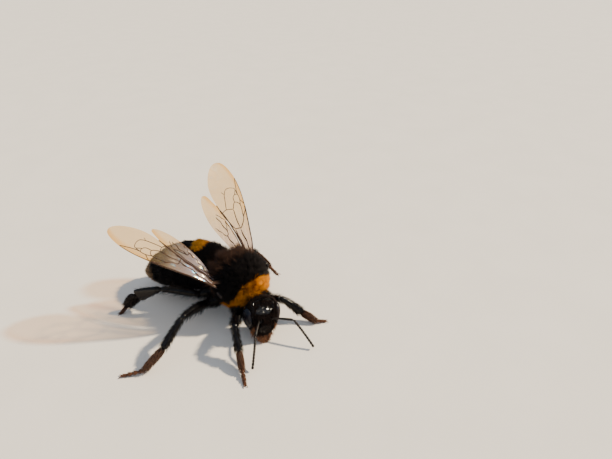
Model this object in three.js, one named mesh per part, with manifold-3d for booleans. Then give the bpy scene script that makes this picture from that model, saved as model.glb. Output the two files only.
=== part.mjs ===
// A buff-tailed bumblebee queen, life size, standing on five feet with one middle leg lifted.
// Millimetres. +X is the bee's left, -Y the way its thorax faces, +Z up, the floor is Z = 0.
// Furry pieces are drawn out to the tips of their hairs.

import * as THREE from 'three';
import { mergeVertices } from 'three/addons/utils/BufferGeometryUtils.js';
import Module from 'manifold-3d';

const wasm = await Module();
wasm.setup();

const v = (x, y, z) => new THREE.Vector3(x, y, z);
const degrees = THREE.MathUtils.degToRad;

// ---------------------------------------------------------------- driving dimensions

const FLOOR_CENTRE = v(-5.56, 0.98, 0);    // middle of the bee's box on the floor, seen from the thorax
const GAP = 0.12;                          // air left between neighbouring pieces

const THORAX = { centre: v(0, 0, 5.4), radii: v(4.2, 4.15, 4.1), lean: -10 };
const WAIST = { start: v(-0.1, 3.7, 4.5), end: v(-0.3, 5.2, 4.6), radius: 0.75 };
const ABDOMEN = { front: v(0.3, 3.9, 4.7), bend: v(-3.0, 9.1, 4.35), tail: v(-6.9, 14.4, 2.25) };
const ABDOMEN_HALF_WIDTH = 4.35;
const ABDOMEN_HALF_HEIGHT = 3.9;
const TERGITE_ENDS = [0.16, 0.36, 0.53, 0.69, 0.84, 1];   // share of the abdomen's length

const HEAD = { centre: v(-0.78, -5.72, 2.8), pitch: -15, yaw: -15, roll: 9 };
const EYE = { place: v(1.98, -0.2, 0.35), radii: v(0.6, 0.92, 1.4), splay: 12 };
const MANDIBLE = {
  hinge: v(0.95, -0.62, -2.25), tip: v(0.12, -0.95, -2.86), bow: v(0.22, -0.12, -0.1), radius: 0.3,
};

const WING_LENGTH = 15.5;
const WING_THICKNESS = 0.5;
const WING_CAMBER = 0.05;                  // bulge as a share of the local chord
const WING_SHOULDER = { reach: 26, drop: 0.7 };   // the blade arches up out of its hinge
const WING_POSES = {
  left: { root: v(3.25, 1.34, 5.35), tip: v(6.49, 10.32, 17.56), chord: v(-0.942, -0.097, 0.321) },
  right: { root: v(-3.71, -0.7, 7.05), tip: v(-13.92, 8.49, 14.22), chord: v(0.639, 0.766, -0.071) },
};

// Stations along a wing, in hundredths of its length: [distance, leading edge, trailing edge].
const ROOT_LINE = 8;
const FOREWING = [
  [0, 6.3, 9.8], [9, 3.8, 12.4], [20, 2.3, 15.6], [32, 1.5, 20.2], [44, 0.9, 26],
  [55, 0.8, 31.8], [65, 1.3, 37.2], [75, 2.8, 39.6], [84, 5.6, 38.4], [91, 9.6, 35.4],
  [96, 13.8, 31.6], [99.4, 19, 26],
];
const HINDWING_GAP = 1.6;
const HINDWING = [
  [3, 12.4, 16.4], [11, 13.6, 22], [20, 15.6, 30], [30, 18.8, 38], [40, 23.4, 45],
  [49, 28, 49], [57, 32.2, 51], [64, 38.2, 51], [68.6, 42.8, 48.8],
];

// Joints of each leg, body outwards. The heel is the far end of the first tarsal joint.
const LEG_POSES = {
  front_left: {
    coxa: v(1.7, -2.5, 3.2), trochanter: v(2.3, -3.3, 2.3), knee: v(2.85, -5.35, 3.75),
    ankle: v(4.75, -7.5, 1.45), heel: v(5.75, -9.25, 0.45), toe: v(6.91, -10.0, 0.15), lifted: false,
  },
  front_right: {
    coxa: v(-1.9, -2.0, 3.3), trochanter: v(-2.6, -2.9, 2.5), knee: v(-5.32, -6.29, 4.1),
    ankle: v(-6.07, -7.94, 1.9), heel: v(-6.89, -9.61, 0.7), toe: v(-7.76, -11.42, 0.1), lifted: false,
  },
  middle_left: {
    coxa: v(2.4, 0.7, 3.2), trochanter: v(3.7, 1.4, 2.7), knee: v(5.6, 5.1, 4.6),
    ankle: v(4.75, 2.6, 6.1), heel: v(4.95, -0.2, 5.3), toe: v(5.45, -1.4, 4.2), lifted: true,
  },
  middle_right: {
    coxa: v(-2.9, 0.75, 3.4), trochanter: v(-4.79, 1.17, 3.1), knee: v(-9.62, -0.78, 4.6),
    ankle: v(-13.08, -1.82, 2.4), heel: v(-15.87, -1.74, 0.6), toe: v(-18.16, -0.34, 0.15), lifted: false,
  },
  hind_left: {
    coxa: v(1.9, 2.6, 3.1), trochanter: v(2.9, 3.7, 2.5), knee: v(5.7, 6.4, 4.2),
    ankle: v(6.2, 9.5, 2.0), heel: v(6.6, 11.2, 0.75), toe: v(7.0, 12.6, 0.08), lifted: false,
  },
  hind_right: {
    coxa: v(-2.6, 2.4, 3.7), trochanter: v(-4.74, 3.55, 3.1), knee: v(-8.7, 7.0, 4.1),
    ankle: v(-11.11, 9.97, 2.4), heel: v(-12.64, 10.54, 0.95), toe: v(-13.59, 10.76, 0.04), lifted: false,
  },
};

// Half breadth and half depth along each piece: [share of length, breadth, depth].
// The mandible, scape and claw give theirs as shares of a radius.
const COXA = [
  [0, 0.85, 0.85], [0.45, 0.85, 0.8], [0.72, 0.55, 0.55], [0.9, 0.55, 0.52], [1, 0.38, 0.38],
];
const FEMUR = [
  [0, 0.4, 0.36], [0.15, 0.56, 0.5], [0.4, 0.68, 0.58], [0.75, 0.5, 0.45], [0.95, 0.42, 0.4],
  [1, 0.3, 0.3],
];
const TIBIA = [
  [0, 0.3, 0.28], [0.08, 0.42, 0.36], [0.35, 0.5, 0.4], [0.75, 0.62, 0.45], [0.96, 0.6, 0.42],
  [1, 0.4, 0.34],
];
const HIND_TIBIA = [
  [0, 0.32, 0.28], [0.08, 0.45, 0.34], [0.35, 0.72, 0.38], [0.7, 0.98, 0.4], [0.95, 1.08, 0.38],
  [1, 0.7, 0.32],
];
const METATARSUS = [
  [0, 0.3, 0.26], [0.08, 0.46, 0.32], [0.45, 0.48, 0.32], [0.92, 0.4, 0.3], [1, 0.28, 0.26],
];
const HIND_METATARSUS = [
  [0, 0.34, 0.26], [0.1, 0.78, 0.32], [0.5, 0.74, 0.32], [0.92, 0.52, 0.3], [1, 0.3, 0.26],
];
const MANDIBLE_STATIONS = [[0, 0.85, 0.85], [0.3, 1, 1], [0.7, 0.85, 0.8], [1, 0.35, 0.35]];
const SCAPE_STATIONS = [
  [0, 0.9, 0.9], [0.08, 1.1, 1.1], [0.2, 0.95, 0.95], [0.85, 1.05, 1.05], [1, 0.7, 0.7],
];
const CLAW_STATIONS = [[0, 1, 1], [0.6, 0.8, 0.8], [1, 0.3, 0.3]];
const TARSOMERES = 4;
const TARSUS_RADIUS = 0.3;
const CLAW = { length: 0.55, radius: 0.16, spread: 28, root: 0.1, droop: 0.1 };

const ANTENNAE = {
  left: { socket: v(-0.21, -7.09, 3.1), elbow: v(1.75, -9.35, 3.15), tip: v(2.25, -12.7, 0.45) },
  right: { socket: v(-1.83, -6.66, 3.37), elbow: v(-3.6, -8.15, 2.9), tip: v(-5.9, -10.4, 0.5) },
};
const SCAPE_RADIUS = 0.26;
const FLAGELLUM = { joints: 11, neck: 0.22, bulge: 0.28, lastBulge: 0.23, end: 0.1, sag: v(0, -0.15, 0.25) };

const TEGULA = { place: v(4.2, -1.0, 0.65), radii: v(0.55, 0.95, 0.75) };   // seen from the thorax's centre

// ---------------------------------------------------------------- materials

function finish(colour, roughness) {
  return new THREE.MeshStandardMaterial({ color: colour, roughness, metalness: 0 });
}
const BLACK_FUR = finish(0x16110f, 0.9);
const COLLAR_FUR = finish(0xe89a18, 0.9);
const BUFF_FUR = finish(0xb98a4a, 0.9);
const SHELL = finish(0x120e0d, 0.3);
const RED_SHELL = finish(0x54281a, 0.4);
const EYE_SHELL = finish(0x0b0909, 0.15);
const MEMBRANE = finish(0xc9b48f, 0.35);

// ---------------------------------------------------------------- shaping tools

const bee = new THREE.Group();

function add(name, geometry, material) {
  const mesh = new THREE.Mesh(geometry, material);
  mesh.name = name;
  bee.add(mesh);
}

function signedVolume(geometry) {
  const place = geometry.getAttribute('position');
  const order = geometry.index.array;
  const [a, b, c] = [v(), v(), v()];
  let volume = 0;
  for (let i = 0; i < order.length; i += 3) {
    a.fromBufferAttribute(place, order[i]);
    b.fromBufferAttribute(place, order[i + 1]);
    c.fromBufferAttribute(place, order[i + 2]);
    volume += a.dot(b.cross(c)) / 6;
  }
  return volume;
}

// A closed skin over rings of points, with a flat fan at each end.
function loft(rings) {
  const sides = rings[0].length;
  const points = rings.flat();
  const middle = (ring) => ring.reduce((sum, p) => sum.add(p), v(0, 0, 0)).divideScalar(sides);
  const firstMiddle = points.push(middle(rings[0])) - 1;
  const lastMiddle = points.push(middle(rings.at(-1))) - 1;
  const lastRing = (rings.length - 1) * sides;
  const order = [];
  for (let side = 0; side < sides; side++) {
    const next = (side + 1) % sides;
    for (let row = 0; row < lastRing; row += sides) {
      order.push(row + side, row + next, row + sides + next);
      order.push(row + side, row + sides + next, row + sides + side);
    }
    order.push(firstMiddle, next, side);
    order.push(lastMiddle, lastRing + side, lastRing + next);
  }
  const geometry = new THREE.BufferGeometry().setFromPoints(points);
  geometry.setIndex(order);
  if (signedVolume(geometry) < 0) {
    geometry.setIndex(order.reverse());
  }
  return geometry;
}

function ellipsoid(radii, across = 20, down = 12) {
  const ball = new THREE.SphereGeometry(1, across, down);
  ball.scale(radii.x, radii.y, radii.z);
  ball.deleteAttribute('normal');
  ball.deleteAttribute('uv');
  return mergeVertices(ball, 1e-4);
}

function solid(geometry) {
  const vertProperties = Float32Array.from(geometry.getAttribute('position').array);
  const triVerts = Uint32Array.from(geometry.index.array);
  return new wasm.Manifold(new wasm.Mesh({ numProp: 3, vertProperties, triVerts }));
}

function surface(manifold) {
  const mesh = manifold.getMesh();
  const geometry = new THREE.BufferGeometry();
  geometry.setAttribute('position', new THREE.BufferAttribute(Float32Array.from(mesh.vertProperties), 3));
  geometry.setIndex(Array.from(mesh.triVerts));
  return geometry;
}

function cut(geometry, ...tools) {
  return surface(tools.reduce((rest, tool) => rest.subtract(solid(tool)), solid(geometry)));
}

function join(geometry, ...others) {
  return surface(others.reduce((whole, other) => whole.add(solid(other)), solid(geometry)));
}

// Rings square to a curve. The broad axis of each ring stays as near to `broad` as it can.
function sweep(curve, stations, broad, sides) {
  return stations.map(([share, breadth, depth]) => {
    const middle = curve.getPoint(share);
    const along = curve.getTangent(share);
    const deep = along.clone().cross(broad).normalize();
    const wide = deep.clone().cross(along).normalize();
    return Array.from({ length: sides }, (_, side) => {
      const angle = (side / sides) * 2 * Math.PI;
      const out = wide.clone().multiplyScalar(breadth * Math.cos(angle));
      return out.addScaledVector(deep, depth * Math.sin(angle)).add(middle);
    });
  });
}

function scaled(stations, radius) {
  return stations.map(([share, breadth, depth]) => [share, breadth * radius, depth * radius]);
}

function shortened(from, to, fromGap, toGap) {
  const along = to.clone().sub(from).normalize();
  return new THREE.LineCurve3(
    from.clone().addScaledVector(along, fromGap),
    to.clone().addScaledVector(along, -toGap),
  );
}

const belowFloor = new THREE.BoxGeometry(80, 80, 4).translate(0, 0, -2);
belowFloor.deleteAttribute('normal');
belowFloor.deleteAttribute('uv');
const floorBlock = mergeVertices(belowFloor);

// ---------------------------------------------------------------- thorax and waist

// A few broad waves stand for the locks of the coat.
function tufted(geometry, centre, depth) {
  const place = geometry.getAttribute('position');
  const p = v();
  for (let i = 0; i < place.count; i++) {
    p.fromBufferAttribute(place, i).sub(centre);
    const wave = Math.sin(2.1 * p.x + 1.3 * p.z) * Math.sin(1.9 * p.y - 0.8 * p.x + 0.6);
    p.multiplyScalar(1 + depth * wave).add(centre);
    place.setXYZ(i, p.x, p.y, p.z);
  }
  return geometry;
}

function thoraxShape(grow, across = 22, down = 14) {
  const shape = ellipsoid(THORAX.radii.clone().addScalar(grow), across, down);
  shape.rotateY(degrees(THORAX.lean));
  shape.translate(...THORAX.centre);
  return tufted(shape, THORAX.centre, 0.018);
}

const waistCurve = new THREE.LineCurve3(WAIST.start, WAIST.end);
const WAIST_STATIONS = [[0, 0.8, 0.7], [0.5, 1, 0.9], [1, 0.8, 0.7]];

function waistShape(grow) {
  const stations = scaled(WAIST_STATIONS, WAIST.radius)
    .map(([share, breadth, depth]) => [share, breadth + grow, depth + grow]);
  return loft(sweep(waistCurve, stations, v(1, 0, 0), 12));
}

// ---------------------------------------------------------------- abdomen

const abdomenCurve = new THREE.QuadraticBezierCurve3(
  ABDOMEN.front,
  ABDOMEN.bend.clone().multiplyScalar(2).sub(ABDOMEN.front.clone().add(ABDOMEN.tail).divideScalar(2)),
  ABDOMEN.tail,
);
// An egg outline: blunt in front, widest before the middle, drawn out to the tail.
function abdomenFullness(share) {
  const blunt = Math.pow(share, 0.47);
  const drawn = Math.pow(1 - share, 0.62);
  return 1.98 * blunt * drawn;
}

function abdomenRings(from, to, count) {
  return Array.from({ length: count }, (_, i) => {
    const share = from + ((to - from) * i) / (count - 1);
    const full = Math.max(abdomenFullness(share), 0.03);
    return [share, full * ABDOMEN_HALF_WIDTH, full * ABDOMEN_HALF_HEIGHT];
  });
}

function abdomenSegment(from, to) {
  const length = abdomenCurve.getLength();
  const start = from === 0 ? 0.004 : from + GAP / length / 2;
  const end = to === 1 ? 0.996 : to - GAP / length / 2;
  const rings = abdomenRings(start, end, from === 0 || to === 1 ? 7 : 4);
  return loft(sweep(abdomenCurve, rings, v(0.866, 0.5, 0), 20));
}

// ---------------------------------------------------------------- head

// Face sections from the crown to the mouth: [height, half width, depth in front, depth behind].
const HEAD_SECTIONS = [
  [2.62, 0.5, 0.45, 0.45], [2.42, 1.4, 0.9, 0.85], [1.95, 2.0, 1.25, 1.15], [1.2, 2.3, 1.42, 1.25],
  [0.3, 2.36, 1.5, 1.25], [-0.6, 2.18, 1.5, 1.1], [-1.35, 1.8, 1.4, 0.9], [-1.95, 1.42, 1.2, 0.7],
  [-2.4, 1.05, 0.9, 0.5], [-2.62, 0.5, 0.5, 0.3],
];

function posedOnHead(geometry) {
  geometry.rotateX(degrees(HEAD.pitch));
  geometry.rotateY(degrees(HEAD.roll));
  geometry.rotateZ(degrees(HEAD.yaw));
  geometry.translate(...HEAD.centre);
  return geometry;
}

function headShape() {
  const sides = 20;
  const rings = HEAD_SECTIONS.map(([height, halfWidth, front, back]) =>
    Array.from({ length: sides }, (_, side) => {
      const angle = (side / sides) * 2 * Math.PI;
      const deep = Math.cos(angle);
      const squarer = Math.sign(Math.sin(angle)) * Math.pow(Math.abs(Math.sin(angle)), 0.85);
      return v(halfWidth * squarer, deep > 0 ? back * deep : front * deep, height);
    }));
  return posedOnHead(loft(rings));
}

function eyeShape(side, grow) {
  const eye = ellipsoid(EYE.radii.clone().addScalar(grow), 12, 9);
  eye.rotateZ(side * degrees(-EYE.splay));
  eye.rotateY(side * degrees(EYE.splay / 2));
  eye.translate(side * EYE.place.x, EYE.place.y, EYE.place.z);
  return posedOnHead(eye);
}

function mandibleShape(side) {
  const hinge = v(side * MANDIBLE.hinge.x, MANDIBLE.hinge.y, MANDIBLE.hinge.z);
  const tip = v(side * MANDIBLE.tip.x, MANDIBLE.tip.y, MANDIBLE.tip.z);
  const bow = hinge.clone().lerp(tip, 0.55).add(v(side * MANDIBLE.bow.x, MANDIBLE.bow.y, MANDIBLE.bow.z));
  const curve = new THREE.QuadraticBezierCurve3(hinge, bow, tip);
  const stations = scaled(MANDIBLE_STATIONS, MANDIBLE.radius);
  return posedOnHead(loft(sweep(curve, stations, v(0, 1, 0), 8)));
}

// ---------------------------------------------------------------- antennae

function scapeShape({ socket, elbow }) {
  const stations = scaled(SCAPE_STATIONS, SCAPE_RADIUS);
  return loft(sweep(shortened(socket, elbow, 0, GAP), stations, v(0, 0, 1), 8));
}

function flagellumShape({ elbow, tip }) {
  const sag = elbow.clone().lerp(tip, 0.45).add(FLAGELLUM.sag);
  const curve = new THREE.QuadraticBezierCurve3(elbow, sag, tip);
  const length = 1 / FLAGELLUM.joints;
  const stations = [];
  for (let joint = 0; joint < FLAGELLUM.joints; joint++) {
    const start = joint * length;
    const bulge = joint === FLAGELLUM.joints - 1 ? FLAGELLUM.lastBulge : FLAGELLUM.bulge;
    stations.push([start + 0.12 * length, FLAGELLUM.neck, FLAGELLUM.neck]);
    stations.push([start + 0.72 * length, bulge, bulge]);
  }
  stations.push([1, FLAGELLUM.end, FLAGELLUM.end]);
  return loft(sweep(curve, stations, v(1, 0, 0), 6));
}

// ---------------------------------------------------------------- legs

function legPiece(from, to, stations, broad, grow = 0) {
  const grown = stations.map(([share, breadth, depth]) => [share, breadth + grow, depth + grow]);
  return loft(sweep(shortened(from, to, GAP - grow, -grow), grown, broad, 8));
}

function clawShape(toe, along, side) {
  const heading = along.clone().setZ(0).normalize().applyAxisAngle(v(0, 0, 1), side * degrees(CLAW.spread));
  const start = toe.clone().addScaledVector(heading, -CLAW.root);
  const tip = toe.clone().addScaledVector(heading, CLAW.length).add(v(0, 0, -CLAW.droop));
  const stations = scaled(CLAW_STATIONS, CLAW.radius);
  return loft(sweep(new THREE.LineCurve3(start, tip), stations, v(0, 0, 1), 6));
}

function tarsusShape({ heel, toe }) {
  const along = toe.clone().sub(heel).normalize();
  const end = toe.clone().addScaledVector(along, -0.3);
  const stations = [];
  for (let joint = 0; joint < TARSOMERES; joint++) {
    const start = joint / TARSOMERES;
    const length = 1 / TARSOMERES;
    stations.push([start + 0.1 * length, 0.8 * TARSUS_RADIUS, 0.75 * TARSUS_RADIUS]);
    stations.push([start + 0.75 * length, 1.1 * TARSUS_RADIUS, 0.95 * TARSUS_RADIUS]);
  }
  stations.push([1, 0.6 * TARSUS_RADIUS, 0.6 * TARSUS_RADIUS]);
  const joints = loft(sweep(shortened(heel, toe, GAP / 2, 0), stations, v(0, 0, 1).cross(along), 6));
  return join(joints, clawShape(end, along, 1), clawShape(end, along, -1));
}

function legPieces(pose, isHind) {
  const outward = pose.ankle.clone().sub(pose.trochanter).cross(v(0, 0, 1)).normalize();
  const upright = v(0, 0, 1);
  const pad = isHind ? HIND_TIBIA : TIBIA;
  const brush = isHind ? HIND_METATARSUS : METATARSUS;
  const coxa = [pose.coxa, pose.trochanter, COXA, outward];
  const femur = [pose.trochanter, pose.knee, FEMUR, upright];
  const tibia = [pose.knee, pose.ankle, pad, upright];
  const metatarsus = [pose.ankle, pose.heel, brush, upright];
  const pieces = {
    coxa: legPiece(...coxa),
    femur: cut(legPiece(...femur), legPiece(...coxa, GAP)),
    tibia: cut(legPiece(...tibia), legPiece(...femur, GAP)),
    metatarsus: cut(legPiece(...metatarsus), legPiece(...tibia, GAP)),
    tarsus: cut(tarsusShape(pose), legPiece(...metatarsus, GAP)),
  };
  if (!pose.lifted) {
    pieces.tarsus = cut(pieces.tarsus, floorBlock);
  }
  return pieces;
}

// ---------------------------------------------------------------- wings

function wingShape({ root, tip, chord }, stations) {
  const along = tip.clone().sub(root).normalize();
  const across = chord.clone().addScaledVector(along, -chord.dot(along)).normalize();
  const normal = along.clone().cross(across).normalize();
  if (normal.z < 0) {
    normal.negate();
  }
  const unit = WING_LENGTH / 100;
  const place = (distance, back, lift) => root.clone()
    .addScaledVector(along, distance * unit)
    .addScaledVector(across, (back - ROOT_LINE) * unit)
    .addScaledVector(normal, lift);
  const rings = stations.map(([distance, leading, trailing]) => {
    const shares = [0, 0.3, 0.65, 1];
    const row = (lift, list) => list.map((share) => {
      const bulge = WING_CAMBER * (trailing - leading) * unit * 4 * share * (1 - share);
      const near = Math.max(1 - distance / WING_SHOULDER.reach, 0);
      const sunk = WING_SHOULDER.drop * near * near;
      return place(distance, leading + (trailing - leading) * share, bulge - sunk + lift);
    });
    return [...row(WING_THICKNESS / 2, shares), ...row(-WING_THICKNESS / 2, shares.reverse())];
  });
  return loft(rings);
}

function tegulaShape(side) {
  const scale = ellipsoid(TEGULA.radii, 10, 6);
  scale.translate(side * TEGULA.place.x, TEGULA.place.y, TEGULA.place.z);
  scale.rotateY(degrees(THORAX.lean));
  scale.translate(...THORAX.centre);
  return scale;
}

// ---------------------------------------------------------------- assembly

const thorax = thoraxShape(0);
const thoraxRoom = thoraxShape(GAP + 0.08, 18, 12);
const waistRoom = waistShape(GAP);
add('thorax', cut(thorax, waistRoom), BLACK_FUR);
add('waist', waistShape(0), SHELL);

TERGITE_ENDS.forEach((end, i) => {
  const start = i === 0 ? 0 : TERGITE_ENDS[i - 1];
  const segment = abdomenSegment(start, end);
  const isTail = i >= 4;
  const isBand = i === 1;
  const coat = isTail ? BUFF_FUR : isBand ? COLLAR_FUR : BLACK_FUR;
  add(`abdomen_${i + 1}`, i === 0 ? cut(segment, waistRoom, thoraxRoom) : segment, coat);
});

const SIDES = { left: 1, right: -1 };
const eyeRooms = Object.values(SIDES).map((side) => eyeShape(side, GAP));
const head = cut(headShape(), thoraxRoom, ...eyeRooms);
add('head', head, BLACK_FUR);

for (const [name, side] of Object.entries(SIDES)) {
  add(`eye_${name}`, eyeShape(side, 0), EYE_SHELL);
  add(`mandible_${name}`, cut(mandibleShape(side), headShape()), RED_SHELL);
  add(`scape_${name}`, cut(scapeShape(ANTENNAE[name]), headShape()), SHELL);
  add(`flagellum_${name}`, flagellumShape(ANTENNAE[name]), SHELL);
  add(`tegula_${name}`, cut(tegulaShape(side), thoraxRoom), SHELL);
  const forewing = wingShape(WING_POSES[name], FOREWING);
  add(`forewing_${name}`, cut(forewing, thoraxRoom, tegulaShape(side)), MEMBRANE);
  const hind = HINDWING.map(([distance, leading, trailing]) => [distance, leading + HINDWING_GAP, trailing]);
  add(`hindwing_${name}`, cut(wingShape(WING_POSES[name], hind), thoraxRoom), MEMBRANE);
}

for (const [name, pose] of Object.entries(LEG_POSES)) {
  const pieces = legPieces(pose, name.startsWith('hind'));
  pieces.coxa = cut(pieces.coxa, thoraxRoom);
  for (const [piece, geometry] of Object.entries(pieces)) {
    add(`${piece}_${name}`, geometry, piece === 'tarsus' ? RED_SHELL : SHELL);
  }
}

bee.position.copy(FLOOR_CENTRE).negate();

export default bee;
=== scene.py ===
"""A still, life-size buff-tailed bumblebee queen: skins, coat, shells, wings and stage on its frame."""

import math

import bmesh
import bpy
import numpy as np
from bpy.props import FloatProperty, FloatVectorProperty, IntProperty, PointerProperty
from mathutils import Matrix, Vector
from mathutils.geometry import delaunay_2d_cdt


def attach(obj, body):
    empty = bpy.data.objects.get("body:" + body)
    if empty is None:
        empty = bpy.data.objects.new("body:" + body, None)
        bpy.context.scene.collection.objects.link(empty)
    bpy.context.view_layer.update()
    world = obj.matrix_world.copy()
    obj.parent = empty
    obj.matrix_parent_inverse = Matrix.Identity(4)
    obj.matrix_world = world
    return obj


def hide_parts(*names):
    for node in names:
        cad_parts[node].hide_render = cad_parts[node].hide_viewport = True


bl_info = {
    "name": "Bumblebee Model",
    "version": (1, 0, 0),
    "blender": (4, 5, 0),
    "location": "3D View > Sidebar > Bumblebee",
    "description": "Builds a life-size bumblebee with skin, coat, wings and legs on its frame",
    "category": "Object",
}

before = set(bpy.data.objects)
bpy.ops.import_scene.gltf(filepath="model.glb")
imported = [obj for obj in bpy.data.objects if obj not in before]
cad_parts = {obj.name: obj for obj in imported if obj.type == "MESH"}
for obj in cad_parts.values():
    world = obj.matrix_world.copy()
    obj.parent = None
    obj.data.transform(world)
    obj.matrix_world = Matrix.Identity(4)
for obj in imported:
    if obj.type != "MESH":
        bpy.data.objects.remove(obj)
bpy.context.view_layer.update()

# ---------------------------------------------------------------- units and places
# Shapes are drawn in millimetres. +X is the bee's left, -Y the way its thorax faces, +Z up.

MM = 0.001
FRAME_SHIFT = np.array((5.56, -0.98, 0.0))     # from the spot under the thorax to the frame's origin
BODY = "root"

THORAX_CENTRE = np.array((0.0, 0.0, 5.4))
THORAX_LEAN = -10                              # degrees about Y
COLLAR_POLE = (0.0, -0.9, -0.43)               # the collar is a ring round the neck
COLLAR_SPAN = (20, 26, 48, 53)                 # degrees from its pole: start, full, fade and end
# The band is rolled to the bee's left and ends short of its right flank, which lies in shade: the black
# there is painted shade.
BAND_TURN = 22                                 # degrees that the abdomen's markings are rolled to its left
BAND_EDGE = (40, 26)                           # degrees each way from its middle: end and full
BAND_SPAN = (0.24, 0.26, 0.315, 0.335)         # shares along the abdomen: start, full, fade and end
TAIL_SPAN = (0.80, 0.88)
THORAX_EDGE, THORAX_REAR = (4.0, 3.5), (3.4, 2.6)   # where its coat ends, outwards and backwards
RELAX = (0.5, 6)                               # factor and rounds of smoothing of the body skin
SKIN_SHARE = 0.55                              # how much of the coat's colour the skin takes
WAIST = ((-0.1, 1.9, 4.9), (-0.15, 3.6, 4.6), (-0.1, 5.6, 4.65))
ABDOMEN = ((0.3, 3.9, 4.7), (-3.0, 9.1, 4.35), (-6.9, 14.4, 2.25))
ABDOMEN_BROAD = (0.866, 0.5, 0.0)
ABDOMEN_TIP, ABDOMEN_START = 0.15, 0.012      # least half width, and first ring's share
SWELL, SWELL_FRONT, SWELL_TAIL = 1.98, 0.47, 0.62   # how full the abdomen is along its length
TERGITE_ENDS = (0.16, 0.36, 0.53, 0.69, 0.84)

HEAD_CENTRE = np.array((-0.78, -5.72, 2.8))
HEAD_TURN = {"X": -15, "Y": 9, "Z": -15}       # degrees, in this order
# Face sections from the mouth to the crown: height, half width, depth in front, depth behind.
HEAD_SECTIONS = np.array((
    (-2.62, 0.5, 0.5, 0.3), (-2.4, 1.05, 0.9, 0.5), (-1.95, 1.42, 1.2, 0.7), (-1.35, 1.8, 1.4, 0.9),
    (-0.6, 2.18, 1.5, 1.1), (0.3, 2.36, 1.5, 1.25), (1.2, 2.3, 1.42, 1.25), (1.95, 2.0, 1.25, 1.15),
    (2.42, 1.4, 0.9, 0.85), (2.62, 0.5, 0.45, 0.45),
))
HEAD_HALF = 2.56                               # half the height that the head's rings span
# Relief of the face, in millimetres.
CREASE_DEPTH, FURROW_DEPTH, CHEEK_RISE = 0.07, 0.05, 0.06
SOCKET_RIM, SOCKET_DEPTH = 0.09, 0.14
FOLD_RISE, WRINKLE_RISE, LEDGE_DEPTH = 0.07, 0.06, 0.42
LIP_RADII = (0.26, 0.12)
# Ovals on the face: half width, height of the middle, half height.
SHIELD, THIN_SHIELD, BARE_CROWN = (1.05, -1.2, 0.85), (0.95, -1.15, 0.75), (1.4, 1.3, 0.6)
EYE_PLACE = (1.98, -0.2, 0.35)
EYE_RADII = (0.6, 0.92, 1.4)
EYE_SPLAY = 12                                 # degrees
EYE_RIM, SOCKET_RING = (1.02, 1.10), (0.32, 0.45)   # where the coat starts and is full
MANDIBLE = {"hinge": (0.95, -0.62, -2.2), "tip": (0.12, -0.95, -2.86)}
# Widths of lofted pieces: share of the length, then half breadth and half depth.
MANDIBLE_WIDTHS = ((0, 0.28, 0.26), (0.3, 0.24, 0.2), (0.75, 0.28, 0.12), (1, 0.24, 0.06))
SCAPE_WIDTHS = ((0, 0.8), (0.1, 1.0), (0.3, 0.85), (1, 1.05))
HINGE_WIDTHS = ((0, 0.5, 0.35), (0.5, 0.42, 0.22), (1, 0.2, 0.12))
OCELLI = ((0.0, -0.86, 1.5), (-0.4, -0.66, 1.8), (0.4, -0.66, 1.8))
ANTENNAE = {
    "left": {"socket": (-0.21, -7.09, 3.1), "elbow": (1.75, -9.35, 3.15), "tip": (2.25, -12.7, 0.45)},
    "right": {"socket": (-1.83, -6.66, 3.37), "elbow": (-3.6, -8.15, 2.9), "tip": (-5.9, -10.4, 0.5)},
}
SIDES = {"left": 1, "right": -1}

WING_LENGTH = 15.5
WING_CAMBER = 0.05
SHOULDER_REACH, SHOULDER_DROP = 26, 0.7        # the blade arches up out of its hinge
PLEAT, RIPPLE = 0.095, 0.03                    # height of the pleats and of the waves across them
ROW_SPACING, BORDER_GAP = 0.87, 0.45           # of the membrane's grid, as shares of its spacing
OUTLINE_STEPS = 7                              # points on each stretch of an outline or a vein
HINGE_SEAT = 2.85                              # distance of the hinge's seat from the thorax's middle
# Plates at the hinge: place on the wing's plan, half length and half breadth.
HINGE_PLATES = ((4, 6.2, 0.55, 0.16), (7, 9.4, 0.5, 0.13), (5, 12.0, 0.42, 0.12))
TEGULA_PLACE, TEGULA_RADII = (3.92, -1.0, 0.65), (0.22, 0.62, 0.45)
WING_POSES = {
    "left": {"root": (3.25, 1.34, 5.35), "tip": (6.49, 10.32, 17.56), "chord": (-0.942, -0.097, 0.321)},
    "right": {"root": (-3.71, -0.7, 7.05), "tip": (-13.92, 8.49, 14.22), "chord": (0.639, 0.766, -0.071)},
}
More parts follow.
